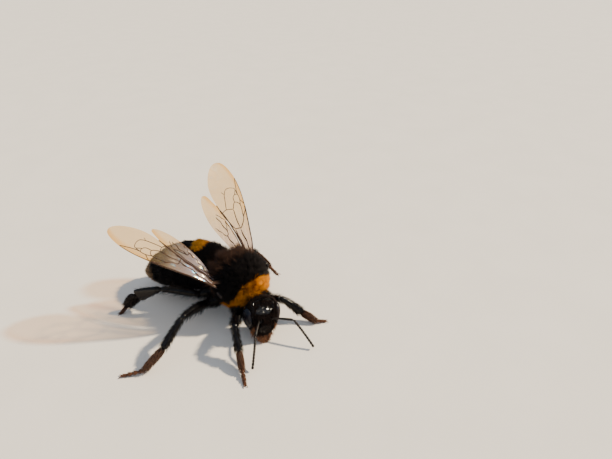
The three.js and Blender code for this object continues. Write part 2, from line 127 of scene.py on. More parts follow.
# Wing outlines and veins are in hundredths of the wing's length: distance from the hinge, and how far back.
ROOT_LINE = 8
FOREWING = np.array((
    (0, 6.3, 9.8), (9, 3.8, 12.4), (20, 2.3, 15.6), (32, 1.5, 20.2), (44, 0.9, 26),
    (55, 0.8, 31.8), (65, 1.3, 37.2), (75, 2.8, 39.6), (84, 5.6, 38.4), (91, 9.6, 35.4),
    (96, 13.8, 31.6), (99.4, 19, 26),
))
HINDWING = np.array((
    (3, 14, 16.4), (11, 15.2, 22), (20, 17.2, 30), (30, 20.4, 38), (40, 25, 45),
    (49, 29.6, 49), (57, 33.8, 51), (64, 39.8, 51), (68.6, 44.4, 48.8),
))
NODES_OF_WING = {
    "base": (1, 8), "fork": (36.9, 14.4), "cua": (36.6, 20), "b1": (37.8, 11.5), "b2": (46.5, 6.9),
    "stigma": (53.8, 2.1), "margin": (59.5, 1.4), "cell": (64, 6.7), "apex": (84.3, 6.8),
    "d1": (54.9, 18), "d2": (54.8, 25.7), "d3": (51.7, 31.3), "tr": (56, 33.1), "tr3": (59.9, 35.2),
    "m1": (64.1, 25.2), "m2": (68.9, 24.7), "m3": (73.5, 22.1), "m4": (75.1, 16.3), "m5": (73.9, 10.3),
    "m6": (68.4, 12.3), "s1": (61.2, 14.4), "s2": (58.7, 7.7), "s3": (65.8, 14.9), "s4": (68.7, 8.1),
    "c1": (74.5, 8.3), "mo": (71.3, 28), "a1": (34.4, 20.9), "a2": (23.1, 16.4), "a0": (8, 11.4),
    "mc": (11.3, 6.1), "cu0": (17.2, 12.9), "r1": (0, 7), "r2": (30, 2.2), "r3": (56, 1.3),
    "r4": (72, 2.6), "r5": (84, 5.9), "e1": (48, 27.6), "c0": (8, 4.6), "c2": (20, 2.8),
    "h0": (4.5, 15), "h1": (33.5, 29.5), "h2": (44, 35.5), "h3": (49, 39.5), "h4": (51.5, 39),
    "h5": (46, 30), "h6": (39.5, 42.5), "h7": (30, 31), "h8": (14.5, 17), "h9": (29, 20.8),
    "g0": (15, 20),
}
# Each vein: radius in millimetres, then the places it passes.
FOREWING_VEINS = (
    (0.085, "r1 c0 c2 r2 r3 stigma"), (0.05, "r3 r4 r5"), (0.075, "base mc fork"),
    (0.07, "base cu0 cua"), (0.06, "cua fork b1 b2 stigma"), (0.06, "fork d1"), (0.055, "d1 d2 d3"),
    (0.065, "cua d3"), (0.06, "d3 tr tr3"), (0.075, "a0 a2 a1 e1 tr"), (0.055, "d1 s1 s2 b2"),
    (0.05, "s1 s3 m6 s4 cell s2"), (0.05, "cell margin"), (0.055, "s4 c1 apex r5"),
    (0.05, "d2 m1 m2 m3 m4 m5 m6"), (0.04, "m2 mo"), (0.04, "m5 s4"),
)
HINDWING_VEINS = (
    (0.06, "h0 g0 h7 h1 h2 h3"), (0.045, "h4 h5"), (0.045, "h7 h6"), (0.055, "h0 h8 h9 h5"),
    (0.045, "h1 h5"),
)

# Joints of each leg, body outwards. The heel is the far end of the first tarsal joint.
LEGS = {
    "front_left": ((1.7, -2.5, 3.2), (2.3, -3.3, 2.3), (2.85, -5.35, 3.75), (4.75, -7.5, 1.45),
                   (5.75, -9.25, 0.45), (6.91, -10.0, 0.15)),
    "front_right": ((-1.9, -2.0, 3.3), (-2.6, -2.9, 2.5), (-5.32, -6.29, 4.1), (-6.07, -7.94, 1.9),
                    (-6.89, -9.61, 0.7), (-7.76, -11.42, 0.1)),
    "middle_left": ((2.4, 0.7, 3.2), (3.7, 1.4, 2.7), (5.6, 5.1, 4.6), (4.75, 2.6, 6.1),
                    (4.95, -0.2, 5.3), (5.45, -1.4, 4.2)),
    "middle_right": ((-2.9, 0.75, 3.4), (-4.79, 1.17, 3.1), (-9.62, -0.78, 4.6), (-13.08, -1.82, 2.4),
                     (-15.87, -1.74, 0.6), (-18.16, -0.34, 0.15)),
    "hind_left": ((1.9, 2.6, 3.1), (2.9, 3.7, 2.5), (5.7, 6.4, 4.2), (6.2, 9.5, 2.0),
                  (6.6, 11.2, 0.75), (7.0, 12.6, 0.08)),
    "hind_right": ((-2.6, 2.4, 3.7), (-4.74, 3.55, 3.1), (-8.7, 7.0, 4.1), (-11.11, 9.97, 2.4),
                   (-12.64, 10.54, 0.95), (-13.59, 10.76, 0.04)),
}
# Half breadth and half depth of each leg piece: share of its length, breadth, depth.
COXA = ((0, 0.8, 0.8), (0.4, 0.85, 0.8), (0.75, 0.6, 0.58), (1, 0.42, 0.4))
FEMUR = ((0, 0.36, 0.34), (0.12, 0.5, 0.45), (0.4, 0.64, 0.54), (0.75, 0.47, 0.42), (1, 0.4, 0.38))
TIBIA = ((0, 0.3, 0.28), (0.1, 0.4, 0.34), (0.4, 0.48, 0.36), (0.8, 0.6, 0.42), (1, 0.56, 0.4))
HIND_TIBIA = ((0, 0.34, 0.28), (0.1, 0.44, 0.32), (0.4, 0.72, 0.34), (0.8, 1.0, 0.34), (1, 0.98, 0.3))
METATARSUS = ((0, 0.3, 0.24), (0.12, 0.46, 0.29), (0.5, 0.49, 0.3), (1, 0.36, 0.27))
HIND_METATARSUS = ((0, 0.42, 0.26), (0.12, 0.86, 0.3), (0.5, 0.88, 0.32), (1, 0.6, 0.28))
TARSUS_RADIUS = 0.27
TARSOMERES, TARSOMERE_SPAN = 4, (-0.06, 0.98)  # each reaches a little into the one before
TROCHANTER_RADII, TOE_RADII = (0.42, 0.4, 0.4), (0.12, 0.12, 0.08)
SPUR_LENGTH, SPUR_RADIUS, SPUR_SHIFT = 0.75, 0.05, 0.13
CLAW_RADIUS, TOOTH_LENGTH, TOOTH_RADIUS = 0.085, 0.16, 0.045
RUST_HIND, RUST_OTHERS = 0.3, 0.8

CAMERA_PLACE = (-0.02149, -0.04472, 0.0450)
CAMERA_TURN = (58.1, 0.0, -42.0)
CAMERA_LENS, SENSOR = 27.06, 36.0              # millimetres
KEY_FROM, KEY_SPREAD, KEY_COLOUR = (1.02, -0.58, 1.0), 3, (1.0, 0.88, 0.66)
FILL_COLOUR = (0.72, 0.84, 1.0, 1)
PROFILE_STEPS = 12                             # points between two stations of a table
POLE_GAP = 0.04                                # angle that a ball's end rings keep from its poles


# ---------------------------------------------------------------- shaping tools

def mm(metres):
    return metres / MM


def unit(vectors):
    vectors = np.asarray(vectors, float)
    return vectors / np.maximum(np.linalg.norm(vectors, axis=-1, keepdims=True), 1e-9)


def turned(points, axis, degrees):
    return np.asarray(points) @ np.array(Matrix.Rotation(math.radians(degrees), 3, axis)).T


def smoothstep(value, low, high):
    share = np.clip((np.asarray(value, float) - low) / (high - low), 0, 1)
    return share * share * (3 - 2 * share)


def bell(value, centre, width):
    return np.exp(-(((np.asarray(value) - centre) / width) ** 2))


def arc(start, middle, end, share):
    """A smooth curve that passes its middle point halfway."""
    start, middle, end = (np.asarray(p, float) for p in (start, middle, end))
    pull = 2 * middle - (start + end) / 2
    t = np.asarray(share, float)[:, None]
    return start * (1 - t) ** 2 + pull * 2 * t * (1 - t) + end * t * t


def spline(points, steps, closed=False):
    """A smooth line through every point."""
    points = np.asarray(points, float)
    if closed:
        padded = np.vstack((points[-1:], points, points[:2]))
    else:
        padded = np.vstack((2 * points[0] - points[1], points, 2 * points[-1] - points[-2]))
    t = (np.arange(steps) / steps)[:, None]
    line = []
    for a, b, c, d in zip(padded, padded[1:], padded[2:], padded[3:]):
        line.append(0.5 * (2 * b + (c - a) * t + (2 * a - 5 * b + 4 * c - d) * t ** 2
                           + (3 * b - a - 3 * c + d) * t ** 3))
    line = np.vstack(line)
    return line if closed else np.vstack((line, points[-1:]))


def plateau(value, start, full, fade, end):
    """1 from full to fade, 0 outside start and end, and smooth slopes between."""
    return smoothstep(value, start, full) * smoothstep(value, end, fade)


def column(values):
    return np.asarray(values)[:, None]


def rounded(edge, least):
    """The width of a round end, from its tip at 0 to its full width at 1."""
    return np.sqrt(np.maximum(1 - (1 - np.clip(edge, 0, 1)) ** 2, least))


def profile(stations, shares, blunt):
    """Columns of a table read smoothly at the shares, both ends rounded over the share blunt."""
    fine = spline(stations, PROFILE_STEPS)
    ends = rounded(np.minimum(shares, 1 - shares) / blunt, 0.004)
    return [np.interp(shares, fine[:, 0], fine[:, i]) * ends for i in range(1, fine.shape[1])]


def even_ends(rows):
    """Shares from 0 to 1 that crowd towards both ends."""
    return (1 - np.cos(np.linspace(0, math.pi, rows))) / 2


class Form:
    """Points and faces of a piece that is being shaped, and the part that each point belongs to."""

    def __init__(self):
        self.points, self.faces, self.parts = [], [], []

    def loft(self, rings, part=0):
        """A closed skin over rings of points, with a fan at each end."""
        rings = np.asarray(rings, float)
        rows, sides, _ = rings.shape
        points = np.vstack((rings.reshape(-1, 3), rings[0].mean(0), rings[-1].mean(0)))
        first, last = rows * sides, rows * sides + 1
        faces = []
        for side in range(sides):
            after = (side + 1) % sides
            for row in range(0, (rows - 1) * sides, sides):
                faces.append((row + side, row + after, row + sides + after, row + sides + side))
            faces.append((first, after, side))
            faces.append((last, first - sides + side, first - sides + after))
        placed = sum(len(group) for group in self.points)
        for face in facing_out(points, faces):
            self.faces.append(tuple(i + placed for i in face))
        self.points.append(points)
        self.parts.append(np.full(len(points), part))

    def tube(self, path, breadth, depth=None, broad=(0, 0, 1), sides=16, part=0):
        self.loft(sweep(path, breadth, breadth if depth is None else depth, broad, sides), part)

    def ball(self, centre, radii, turn=None, rows=14, sides=20, part=0):
        tilt = column(np.linspace(POLE_GAP, math.pi - POLE_GAP, rows))
        around = np.arange(sides) * 2 * math.pi / sides
        rings = np.stack((np.sin(tilt) * np.cos(around), np.sin(tilt) * np.sin(around),
                          np.repeat(np.cos(tilt), sides, 1)), -1) * np.asarray(radii)
        if turn is not None:
            rings = rings @ turn.T
        self.loft(rings + np.asarray(centre), part)


def facing_out(points, faces):
    """The faces of a closed shape, all turned over if they enclose a negative volume."""
    volume = 0.0
    for face in faces:
        a = points[face[0]]
        for i in range(1, len(face) - 1):
            volume += float(np.dot(a, np.cross(points[face[i]], points[face[i + 1]])))
    return [face[::-1] for face in faces] if volume < 0 else faces


def sweep(path, breadth, depth, broad, sides):
    """Rings square to a path, their broad axis as near to broad as it can be."""
    path = np.asarray(path, float)
    along = unit(np.gradient(path, axis=0))
    deep = unit(np.cross(along, np.asarray(broad, float)))
    wide = np.cross(deep, along)
    angle = np.arange(sides) * 2 * math.pi / sides
    breadth = np.broadcast_to(breadth, len(path))[:, None, None]
    depth = np.broadcast_to(depth, len(path))[:, None, None]
    return (path[:, None] + wide[:, None] * breadth * np.cos(angle)[None, :, None]
            + deep[:, None] * depth * np.sin(angle)[None, :, None])


def link(name, mesh):
    piece = bpy.data.objects.new(name, mesh)
    bpy.context.scene.collection.objects.link(piece)
    return piece


def raw_mesh(name, points, faces):
    mesh = bpy.data.meshes.new(name)
    mesh.from_pydata(np.asarray(points, float).tolist(), [], [list(f) for f in faces])
    mesh.update()
    return mesh


def settle(piece, material, replaced=()):
    """Takes a piece from millimetres to its place in the frame, and hands it to the body."""
    mesh = piece.data
    mesh.transform(Matrix.Scale(MM, 4) @ Matrix.Translation(FRAME_SHIFT))
    mesh.materials.clear()
    mesh.materials.append(material)
    mesh.polygons.foreach_set("material_index", [0] * len(mesh.polygons))
    mesh.polygons.foreach_set("use_smooth", [True] * len(mesh.polygons))
    mesh.update()
    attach(piece, BODY)
    if replaced:
        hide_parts(*replaced)
    return piece


def make_piece(name, form, material, replaced=()):
    piece = link(name, raw_mesh(name, np.vstack(form.points), form.faces))
    return settle(piece, material, replaced)


def set_values(mesh, name, kind, values):
    attribute = mesh.attributes.get(name) or mesh.attributes.new(name, kind, "POINT")
    key = {"FLOAT": "value", "FLOAT_VECTOR": "vector", "FLOAT_COLOR": "color"}[kind]
    attribute.data.foreach_set(key, np.ascontiguousarray(values, np.float32).ravel())


def vectors_of(items, key):
    values = np.empty(len(items) * 3, np.float32)
    items.foreach_get(key, values)
    return values.reshape(-1, 3).astype(float)


def points_of(mesh):
    return vectors_of(mesh.vertices, "co")


def normals_of(mesh):
    return vectors_of(mesh.vertex_normals, "vector")


# ---------------------------------------------------------------- materials

def shade(colour, share):
    """A colour made darker or lighter by a share."""
    return tuple(share * part for part in colour)


def in_use(sockets, name):
    """The socket that has this name and is in use."""
    return next(socket for socket in sockets if socket.name == name and socket.enabled)


class Graph:
    """A node tree, with short ways to add its nodes."""

    def __init__(self, tree):
        self.tree = tree

    def feed(self, socket, value):
        if isinstance(value, bpy.types.NodeSocket):
            self.tree.links.new(value, socket)
        else:
            socket.default_value = value

    def node(self, kind, inputs=None, **settings):
        """A new node's outputs, once its settings are made and its inputs are fed by name."""
        node = self.tree.nodes.new(kind)
        for key, value in settings.items():
            setattr(node, key, value)
        for name, value in (inputs or {}).items():
            self.feed(in_use(node.inputs, name), value)
        return node.outputs


class Finish(Graph):
    """A material with one Principled shader, and the patterns that feed it."""

    def __init__(self, name, colour, roughness):
        self.material = bpy.data.materials.new(name)
        self.material.use_nodes = True
        super().__init__(self.material.node_tree)
        self.shader = self.tree.nodes["Principled BSDF"]
        self.set(Base_Color=(*colour, 1), Roughness=roughness)

    def set(self, **sockets):
        """Values or outputs given to the shader's sockets."""
        for name, value in sockets.items():
            self.feed(self.shader.inputs[name.replace("_", " ")], value)

    def pattern(self, kind, millimetres, **inputs):
        """A texture whose pattern has this size on the piece's own coordinates."""
        place = self.node("ShaderNodeTexCoord")["Object"]
        return self.node(kind, {"Scale": 1 / (millimetres * MM), "Vector": place, **inputs})

    def noise(self, millimetres, detail=4.0):
        return self.pattern("ShaderNodeTexNoise", millimetres, Detail=detail)["Fac"]

    def facets(self, millimetres):
        return self.pattern("ShaderNodeTexVoronoi", millimetres)["Distance"]

    def value(self, name, output="Fac"):
        return self.node("ShaderNodeAttribute", attribute_name=name)[output]

    def blend(self, share, low, high):
        """Colours or outputs mixed by a share."""
        low, high = ((*end, 1) if isinstance(end, tuple) else end for end in (low, high))
        ends = {"Factor": share, "A": low, "B": high}
        return in_use(self.node("ShaderNodeMix", ends, data_type="RGBA"), "Result")

    def range(self, value, low, high, to_low, to_high):
        ends = {"Value": value, "From Min": low, "From Max": high, "To Min": to_low, "To Max": to_high}
        return self.node("ShaderNodeMapRange", ends)["Result"]

    def mottle(self, millimetres, low, high, to_low=0, to_high=1, detail=4.0):
        """Noise of a size, its values from low to high stretched to a new range."""
        return self.range(self.noise(millimetres, detail), low, high, to_low, to_high)

    def relief(self, *layers):
        """Bumps laid over each other: each has a pattern, a height in millimetres and a strength."""
        below = {}
        for height, millimetres, strength in layers:
            bump = {"Distance": millimetres * MM, "Strength": strength, "Height": height, **below}
            below = {"Normal": self.node("ShaderNodeBump", bump)["Normal"]}
        self.set(**below)


def skin_finish():
    """Black body skin that takes the colours of the coat above it."""
    finish = Finish("body skin", (0.012, 0.009, 0.008), 0.5)
    mottle = finish.mottle(0.5, 0.35, 0.7, 0.7, 1.15)
    marking = finish.value("marking", "Color")
    finish.set(Base_Color=finish.blend(mottle, (0.006, 0.005, 0.005), marking),
               Roughness=finish.mottle(0.2, 0.3, 0.7, 0.42, 0.62))
    finish.relief((finish.noise(0.06), 0.02, 1.0))
    return finish.material


def shell_finish(name, colour, worn, roughness=0.24, gloss=0.18):
    """Glossy jointed shell with fine pits."""
    finish = Finish(name, colour, roughness)
    finish.set(Base_Color=finish.blend(finish.mottle(0.9, 0.4, 0.7), colour, worn),
               Roughness=finish.mottle(0.15, 0.3, 0.75, roughness, roughness + 0.22),
               Specular_IOR_Level=gloss, Coat_Weight=0.12, Coat_Roughness=0.05)
    finish.relief((finish.facets(0.07), 0.006, 0.5), (finish.noise(0.4), 0.03, 0.5))
    return finish.material


def leg_finish():
    """Black shell that turns reddish brown along the feet."""
    finish = Finish("leg shell", (0.010, 0.008, 0.008), 0.26)
    mottle = finish.mottle(0.25, 0.35, 0.7, 0.55, 1.0)
    rust = finish.blend(mottle, (0.045, 0.016, 0.008), (0.14, 0.050, 0.020))
    finish.set(Base_Color=finish.blend(finish.value("rust"), (0.003, 0.0025, 0.003), rust),
               Roughness=finish.mottle(0.12, 0.3, 0.75, 0.14, 0.28),
               Specular_IOR_Level=0.18, Coat_Weight=0.1, Coat_Roughness=0.06)
    finish.relief((finish.facets(0.06), 0.008, 0.5), (finish.noise(0.3), 0.03, 0.6))
    return finish.material


def eye_finish():
    """Black eye with a fine net of facets."""
    finish = Finish("eye", (0.008, 0.007, 0.009), 0.16)
    tint = finish.mottle(1.2, 0.4, 0.65)
    finish.set(Base_Color=finish.blend(tint, (0.004, 0.005, 0.010), (0.012, 0.009, 0.012)),
               Specular_IOR_Level=0.16, Coat_Weight=0.08, Coat_Roughness=0.04)
    finish.relief((finish.facets(0.045), 0.010, 0.6))
    return finish.material


def hair_finish(name, root, tip, gloss):
    """Hairs that differ a little from each other, darker at their roots as painted shade within the coat,
    and paler towards their tips.
    """
    finish = Finish(name, root, 0.5)
    strand, along = finish.value("strand"), finish.value("along")
    roots = finish.blend(strand, shade(root, 0.55), root)
    tips = finish.blend(strand, shade(tip, 0.72), tip)
    tips = finish.blend(finish.mottle(0.8, 0.35, 0.7, detail=2.0), tips, tip)
    finish.set(Base_Color=finish.blend(finish.range(along, 0.1, 1.0, 0, 1), roots, tips),
               Roughness=finish.mottle(0.3, 0.3, 0.7, 0.42, 0.62), Specular_IOR_Level=gloss)
    return finish.material


def membrane_finish(tint, alpha, film):
    """Clear amber wing skin, deeper along its front edge, glossier near its root and painted there with a
    pale lilac sheen.
    """
    finish = Finish("wing membrane", shade(tint, 0.5), 0.2)
    near, front = finish.value("near"), finish.value("front")
    cloud = finish.mottle(1.6, 0.35, 0.7, detail=3.0)
    gloss_tint = finish.blend(cloud, shade(tint, 0.3), shade(tint, 0.6))
    # Near the root the base colour turns pale lilac: a painted sheen of glare on the membrane.
    finish.set(Base_Color=finish.blend(near, gloss_tint, (0.50, 0.42, 0.46)),
               Roughness=finish.range(near, 0, 1, 0.42, 0.16),
               Thin_Film_Thickness=finish.mottle(1.1, 0.4, 0.7, 0.12 * film, 0.8 * film, 2.0),
               Thin_Film_IOR=1.5, IOR=1.7, Specular_IOR_Level=0.8)
    finish.relief((finish.facets(0.09), 0.004, 0.4), (finish.noise(0.7, 3.0), 0.008, 0.6))
    pale = tuple(1 - 0.6 * (1 - part) for part in tint)
    clear = finish.node("ShaderNodeBsdfTransparent", {"Color": finish.blend(front, pale, tint)})["BSDF"]
    mix = finish.tree.nodes.new("ShaderNodeMixShader")
    # The cover grows towards the root, so that the painted pale sheen shows there.
    cover = finish.range(near, 0, 1, alpha, 6 * alpha)
    for socket, output in zip(mix.inputs, (cover, clear, finish.shader.outputs["BSDF"])):
        finish.feed(socket, output)
    finish.feed(finish.tree.nodes["Material Output"].inputs["Surface"], mix.outputs["Shader"])
    return finish.material


def floor_finish(colour):
    """A pale matt floor."""
    finish = Finish("floor", colour, 0.8)
    cloud = finish.mottle(9.0, 0.3, 0.7, detail=3.0)
    finish.set(Base_Color=finish.blend(cloud, shade(colour, 0.96), colour))
    finish.relief((finish.noise(0.8), 0.03, 0.3))
    return finish.material


# ---------------------------------------------------------------- body and head skins

def on_abdomen(share):
    return arc(*ABDOMEN, share)


def fullness(share):
    share = np.clip(share, 1e-4, 1 - 1e-4)
    return SWELL * share ** SWELL_FRONT * (1 - share) ** SWELL_TAIL


def along_plate(share):
    """How far a place lies along its own plate of the abdomen, from 0 to 1."""
    edges = np.array((0, *TERGITE_ENDS, 1))
    plate = np.clip(np.searchsorted(edges, share) - 1, 0, len(TERGITE_ENDS))
    return (share - edges[plate]) / (edges[plate + 1] - edges[plate])


def abdomen_rings(body, rows, sides):
    """Rings of the abdomen's skin, with a small step where each plate overlaps the next."""
    share = ABDOMEN_START + (1 - 2 * ABDOMEN_START) * even_ends(rows)
    lift = mm(body.plate_step) * along_plate(share)
    wide, high = (np.maximum(fullness(share) * mm(width) / 2 + lift, ABDOMEN_TIP)
                  for width in (body.abdomen_width, body.abdomen_height))
    return sweep(on_abdomen(share), wide, high, ABDOMEN_BROAD, sides)


def body_frame(points):
    """Where points of the body lie: from the thorax, along the abdomen and round it."""
    local = turned(points - THORAX_CENTRE, "Y", -THORAX_LEAN)
    shares = np.linspace(0, 1, 161)
    line = on_abdomen(shares)
    nearest = np.linalg.norm(points[:, None] - line[None], axis=2).argmin(1)
    radial = points - line[nearest]
    along = unit(np.gradient(line, axis=0))[nearest]
    down = unit(np.cross(along, ABDOMEN_BROAD))
    wide = np.cross(down, along)
    around = np.arctan2((radial * wide).sum(1), -(radial * down).sum(1))
    return {"local": local, "share": shares[nearest], "radial": radial, "along": along,
            "around": around}


def body_markings(points):
    """How much of each coat grows at each point: on the thorax, collar, band and tail."""
    place = body_frame(points)
    local, share = place["local"], place["share"]
    on_thorax = smoothstep(np.linalg.norm(local, axis=1), *THORAX_EDGE)
    on_thorax *= smoothstep(local[:, 1], *THORAX_REAR)
    rest = 1 - on_thorax
    direction = unit(local)
    x, _, z = direction.T
    reach = np.degrees(np.arccos(np.clip(direction @ unit(COLLAR_POLE), -1, 1)))
    flanks = smoothstep(np.abs(x), 0.60, 0.84) * smoothstep(z, -0.12, -0.34)
    reach += 1.2 * np.sin(9 * x + 2) + (0.8 + 4 * flanks) * np.sin(23 * z) - 17 * flanks
    collar = plateau(reach, *COLLAR_SPAN) * smoothstep(z, -0.78, -0.5) * on_thorax
    wave = share + 0.012 * np.sin(7 * place["radial"][:, 2] + 4 * place["radial"][:, 0])
    around = np.degrees(place["around"])
    # Rolled off the shaded right flank: the black hair left there is painted shade.
    band = plateau(wave, *BAND_SPAN) * smoothstep(np.abs(around - BAND_TURN), *BAND_EDGE) * rest
    low = 0.15 + 0.85 * smoothstep(np.abs(around), 30, 62)
    tail = smoothstep(wave, *TAIL_SPAN) * low * rest
    return place, on_thorax, collar, band, tail


def build_body_skin(body, material):
    form = Form()
    radii = np.full(3, mm(body.thorax_width) / 2) * (1.0, 0.99, 0.97)
    form.ball(THORAX_CENTRE, radii, thorax_turn(), rows=36, sides=48)
    form.loft(abdomen_rings(body, 90, 64))
    share = np.linspace(0, 1, 20)
    girth = 0.95 - 0.35 * bell(share, 0.55, 0.25)
    form.tube(arc(*WAIST, share), girth, broad=(1, 0, 0), sides=32)
    skin = link("body_skin", raw_mesh("body_skin", np.vstack(form.points), form.faces))
    remesh = skin.modifiers.new("one skin", "REMESH")
    remesh.mode = "VOXEL"
    remesh.voxel_size = mm(body.skin_grain)
    relax = skin.modifiers.new("relax", "SMOOTH")
    relax.factor, relax.iterations = RELAX
    skin = made_plain(skin, "body_skin")
    points = points_of(skin.data)
    _, _, *amounts = body_markings(points)
    colour = np.tile(np.array(body.black), (len(points), 1))
    for amount, tone in zip(amounts, (body.collar, body.band, body.tail)):
        colour = colour * (1 - column(amount)) + SKIN_SHARE * np.array(tone) * column(amount)
    colour = np.hstack((colour, np.ones((len(points), 1))))
    set_values(skin.data, "marking", "FLOAT_COLOR", colour)
    nodes = ["thorax", "waist"] + [f"abdomen_{i}" for i in range(1, 7)]
    return settle(skin, material, nodes)


def made_plain(piece, name):
    """The piece with its modifiers made part of its mesh."""
    bpy.context.view_layer.update()
    evaluated = piece.evaluated_get(bpy.context.evaluated_depsgraph_get())
    mesh = bpy.data.meshes.new_from_object(evaluated)
    old = piece.data
    piece.modifiers.clear()
    piece.data = mesh
    mesh.name = name
    bpy.data.meshes.remove(old)
    return piece


def on_head(points):
    """From the head's own frame, crown up and face to -Y, to the pose."""
    points = np.asarray(points, float)
    for axis, degrees in HEAD_TURN.items():
        points = turned(points, axis, degrees)
    return points + HEAD_CENTRE


def in_head(points):
    points = np.asarray(points, float) - HEAD_CENTRE
    for axis, degrees in reversed(HEAD_TURN.items()):
        points = turned(points, axis, -degrees)
    return points


def thorax_turn():
    return np.array(Matrix.Rotation(math.radians(THORAX_LEAN), 3, "Y"))


def oval(x, z, half_width, middle, half_height):
    """Distance from the middle of an oval on the face, 1 at its edge."""
    return np.hypot(x / half_width, (z - middle) / half_height)


def head_rings(inset, rows, sides):
    """Rings of the head from the mouth to the crown, inset under the tips of its coat."""
    height = -HEAD_HALF + 2 * HEAD_HALF * even_ends(rows)
    table = spline(HEAD_SECTIONS, PROFILE_STEPS)
    wide, front, back = (np.maximum(np.interp(height, table[:, 0], table[:, i]) - inset, 0.15)
                         for i in (1, 2, 3))
    angle = np.arange(sides) * 2 * math.pi / sides
    across = np.sign(np.sin(angle)) * np.abs(np.sin(angle)) ** 0.85
    deep = np.cos(angle)
    x = column(wide) * across
    y = np.where(deep > 0, column(back) * deep, column(front) * deep)
    return np.stack((x, y, np.repeat(column(height), sides, 1)), -1)


def build_head_skin(head, material):
    """The head's capsule with its face shield, creases, crown folds, sockets and upper lip."""
    rings = head_rings(mm(head.coat_depth), 80, 96)
    x, y, z = rings[..., 0], rings[..., 1], rings[..., 2]
    reach = oval(x, z, *SHIELD)
    furrow = bell(x, 0, 0.07) * plateau(z, 0.2, 0.6, 1.2, 1.5)
    cheek = bell(np.abs(x), 1.35, 0.35) * bell(z, -1.3, 0.5)
    front = smoothstep(-y, 0.1, 0.7)
    push = front * (mm(head.shield_bulge) * smoothstep(reach, 1.08, 0.72)
                    - CREASE_DEPTH * bell(reach, 1.1, 0.09) - FURROW_DEPTH * furrow + CHEEK_RISE * cheek)
    for name in SIDES:
        socket = in_head(ANTENNAE[name]["socket"])
        gap = np.hypot(x - socket[0], z - socket[2])
        push += front * (SOCKET_RIM * bell(gap, 0.36, 0.10) - SOCKET_DEPTH * smoothstep(gap, 0.3, 0.1))
    ledge = smoothstep(z, 0.95, 1.7) * smoothstep(np.abs(x), 1.55, 0.95)
    folds = bell(z - 0.14 * np.sin(3.1 * x), 1.22, 0.1)
    folds += bell(z + 0.1 * np.sin(4.3 * x + 1), 1.55, 0.09)
    wrinkle = np.sin(12 * x + 3 * z) * np.sin(10 * z + 2 * x) * bell(z, 1.4, 0.4)
    crown = (FOLD_RISE * folds + WRINKLE_RISE * wrinkle) * smoothstep(np.abs(x), 1.4, 0.9)
    rings[..., 1] -= push + front * (crown - LEDGE_DEPTH * ledge)
    form = Form()
    form.loft(on_head(rings))
    lip = np.linspace(-1, 1, 15)
    bow = 1 - lip ** 2
    path = np.stack((0.55 * lip, -0.78 - 0.18 * bow, -2.42 - 0.1 * bow), -1)
    plump = np.sqrt(np.maximum(1 - 0.9 * lip ** 2, 0.05))
    form.tube(on_head(path), LIP_RADII[0] * plump, LIP_RADII[1] * plump)
    return make_piece("head_skin", form, material, ("head",))


def eye_turn(side):
    splay = Matrix.Rotation(side * math.radians(-EYE_SPLAY), 3, "Z")
    tilt = Matrix.Rotation(side * math.radians(EYE_SPLAY / 2), 3, "Y")
    return np.array(tilt @ splay)


def build_eye(name, side, material):
    """A long eye with a slight waist in front."""
    form = Form()
    form.ball((0, 0, 0), EYE_RADII, rows=40, sides=48)
    points = form.points[0]
    points[:, 1] *= 1 - 0.10 * bell(points[:, 2], 0.25, 0.45) * smoothstep(-points[:, 1], 0.0, 0.6)
    place = np.array(EYE_PLACE) * (side, 1, 1)
    form.points[0] = on_head(points @ eye_turn(side).T + place)
    return make_piece(f"eye_globe_{name}", form, material, (f"eye_{name}",))


def build_ocelli(head, material):
    form = Form()
    for place in OCELLI:
        form.ball(on_head(place), (mm(head.ocellus),) * 3, rows=12, sides=20)
    return make_piece("ocelli", form, material)


def build_mandible(name, side, material):
    """A curved jaw, broad at its toothed end."""
    hinge, tip = (np.array(MANDIBLE[end]) * (side, 1, 1) for end in ("hinge", "tip"))
    bow = hinge + 0.55 * (tip - hinge) + np.array((side * 0.1, -0.06, -0.05))
    share = np.linspace(0, 1, 28)
    wide, deep = profile(MANDIBLE_WIDTHS, share, 0.12)
    ridge = 1 + 0.05 * np.sin(share * 30)
    form = Form()
    form.tube(on_head(arc(hinge, bow, tip, share)), wide * ridge, deep, broad=(0, 1, 0), sides=20)
    return make_piece(f"jaw_{name}", form, material, (f"mandible_{name}",))


def build_antenna(name, antenna, head, material):
    """Two pieces: the scape on its socket, and the jointed flagellum beyond the elbow."""
    socket, elbow, tip = (np.array(antenna[key]) for key in ("socket", "elbow", "tip"))
    thick, joints = mm(head.antenna), head.antenna_joints
    heading = unit(elbow - socket)
    start = socket - 0.25 * heading
    share = np.linspace(0, 1, 26)
    radius, = profile(SCAPE_WIDTHS, share, 0.1)
    bow = (start + elbow) / 2 + np.array((0, 0, 0.08))
    scape = Form()
    scape.tube(arc(start, bow, elbow, share), radius * thick, broad=(0, 0.2, 1), sides=20)
    scape.ball(start + 0.3 * heading, (1.15 * thick,) * 3)
    make_piece(f"antenna_scape_{name}", scape, material, (f"scape_{name}",))
    sag = elbow + 0.45 * (tip - elbow) + np.array((0, -0.15, 0.25))
    local = np.linspace(0, 1, 12)
    flagellum = Form()
    for joint in range(joints):
        t = column((joint + local) / joints)
        path = elbow * (1 - t) ** 2 + sag * 2 * t * (1 - t) + tip * t ** 2
        width = thick * (0.92 + 0.16 * local) * (0.82 if joint == 0 else 1)
        closing = 0.35 if joint == joints - 1 else 0.14
        width *= rounded(np.minimum(local / 0.14, (1 - local) / closing), 0.12)
        flagellum.tube(path, width, broad=(1, 0, 0))
    make_piece(f"antenna_flagellum_{name}", flagellum, material, (f"flagellum_{name}",))


# ---------------------------------------------------------------- legs

def add_limb(form, start, end, bow, stations, blunt, rows, **shape):
    """A bowed limb between two joints, as broad and deep as its stations say."""
    share = even_ends(rows)
    middle = (start + end) / 2 + np.asarray(bow)
    form.tube(arc(start, middle, end, share), *profile(stations, share, blunt), **shape)


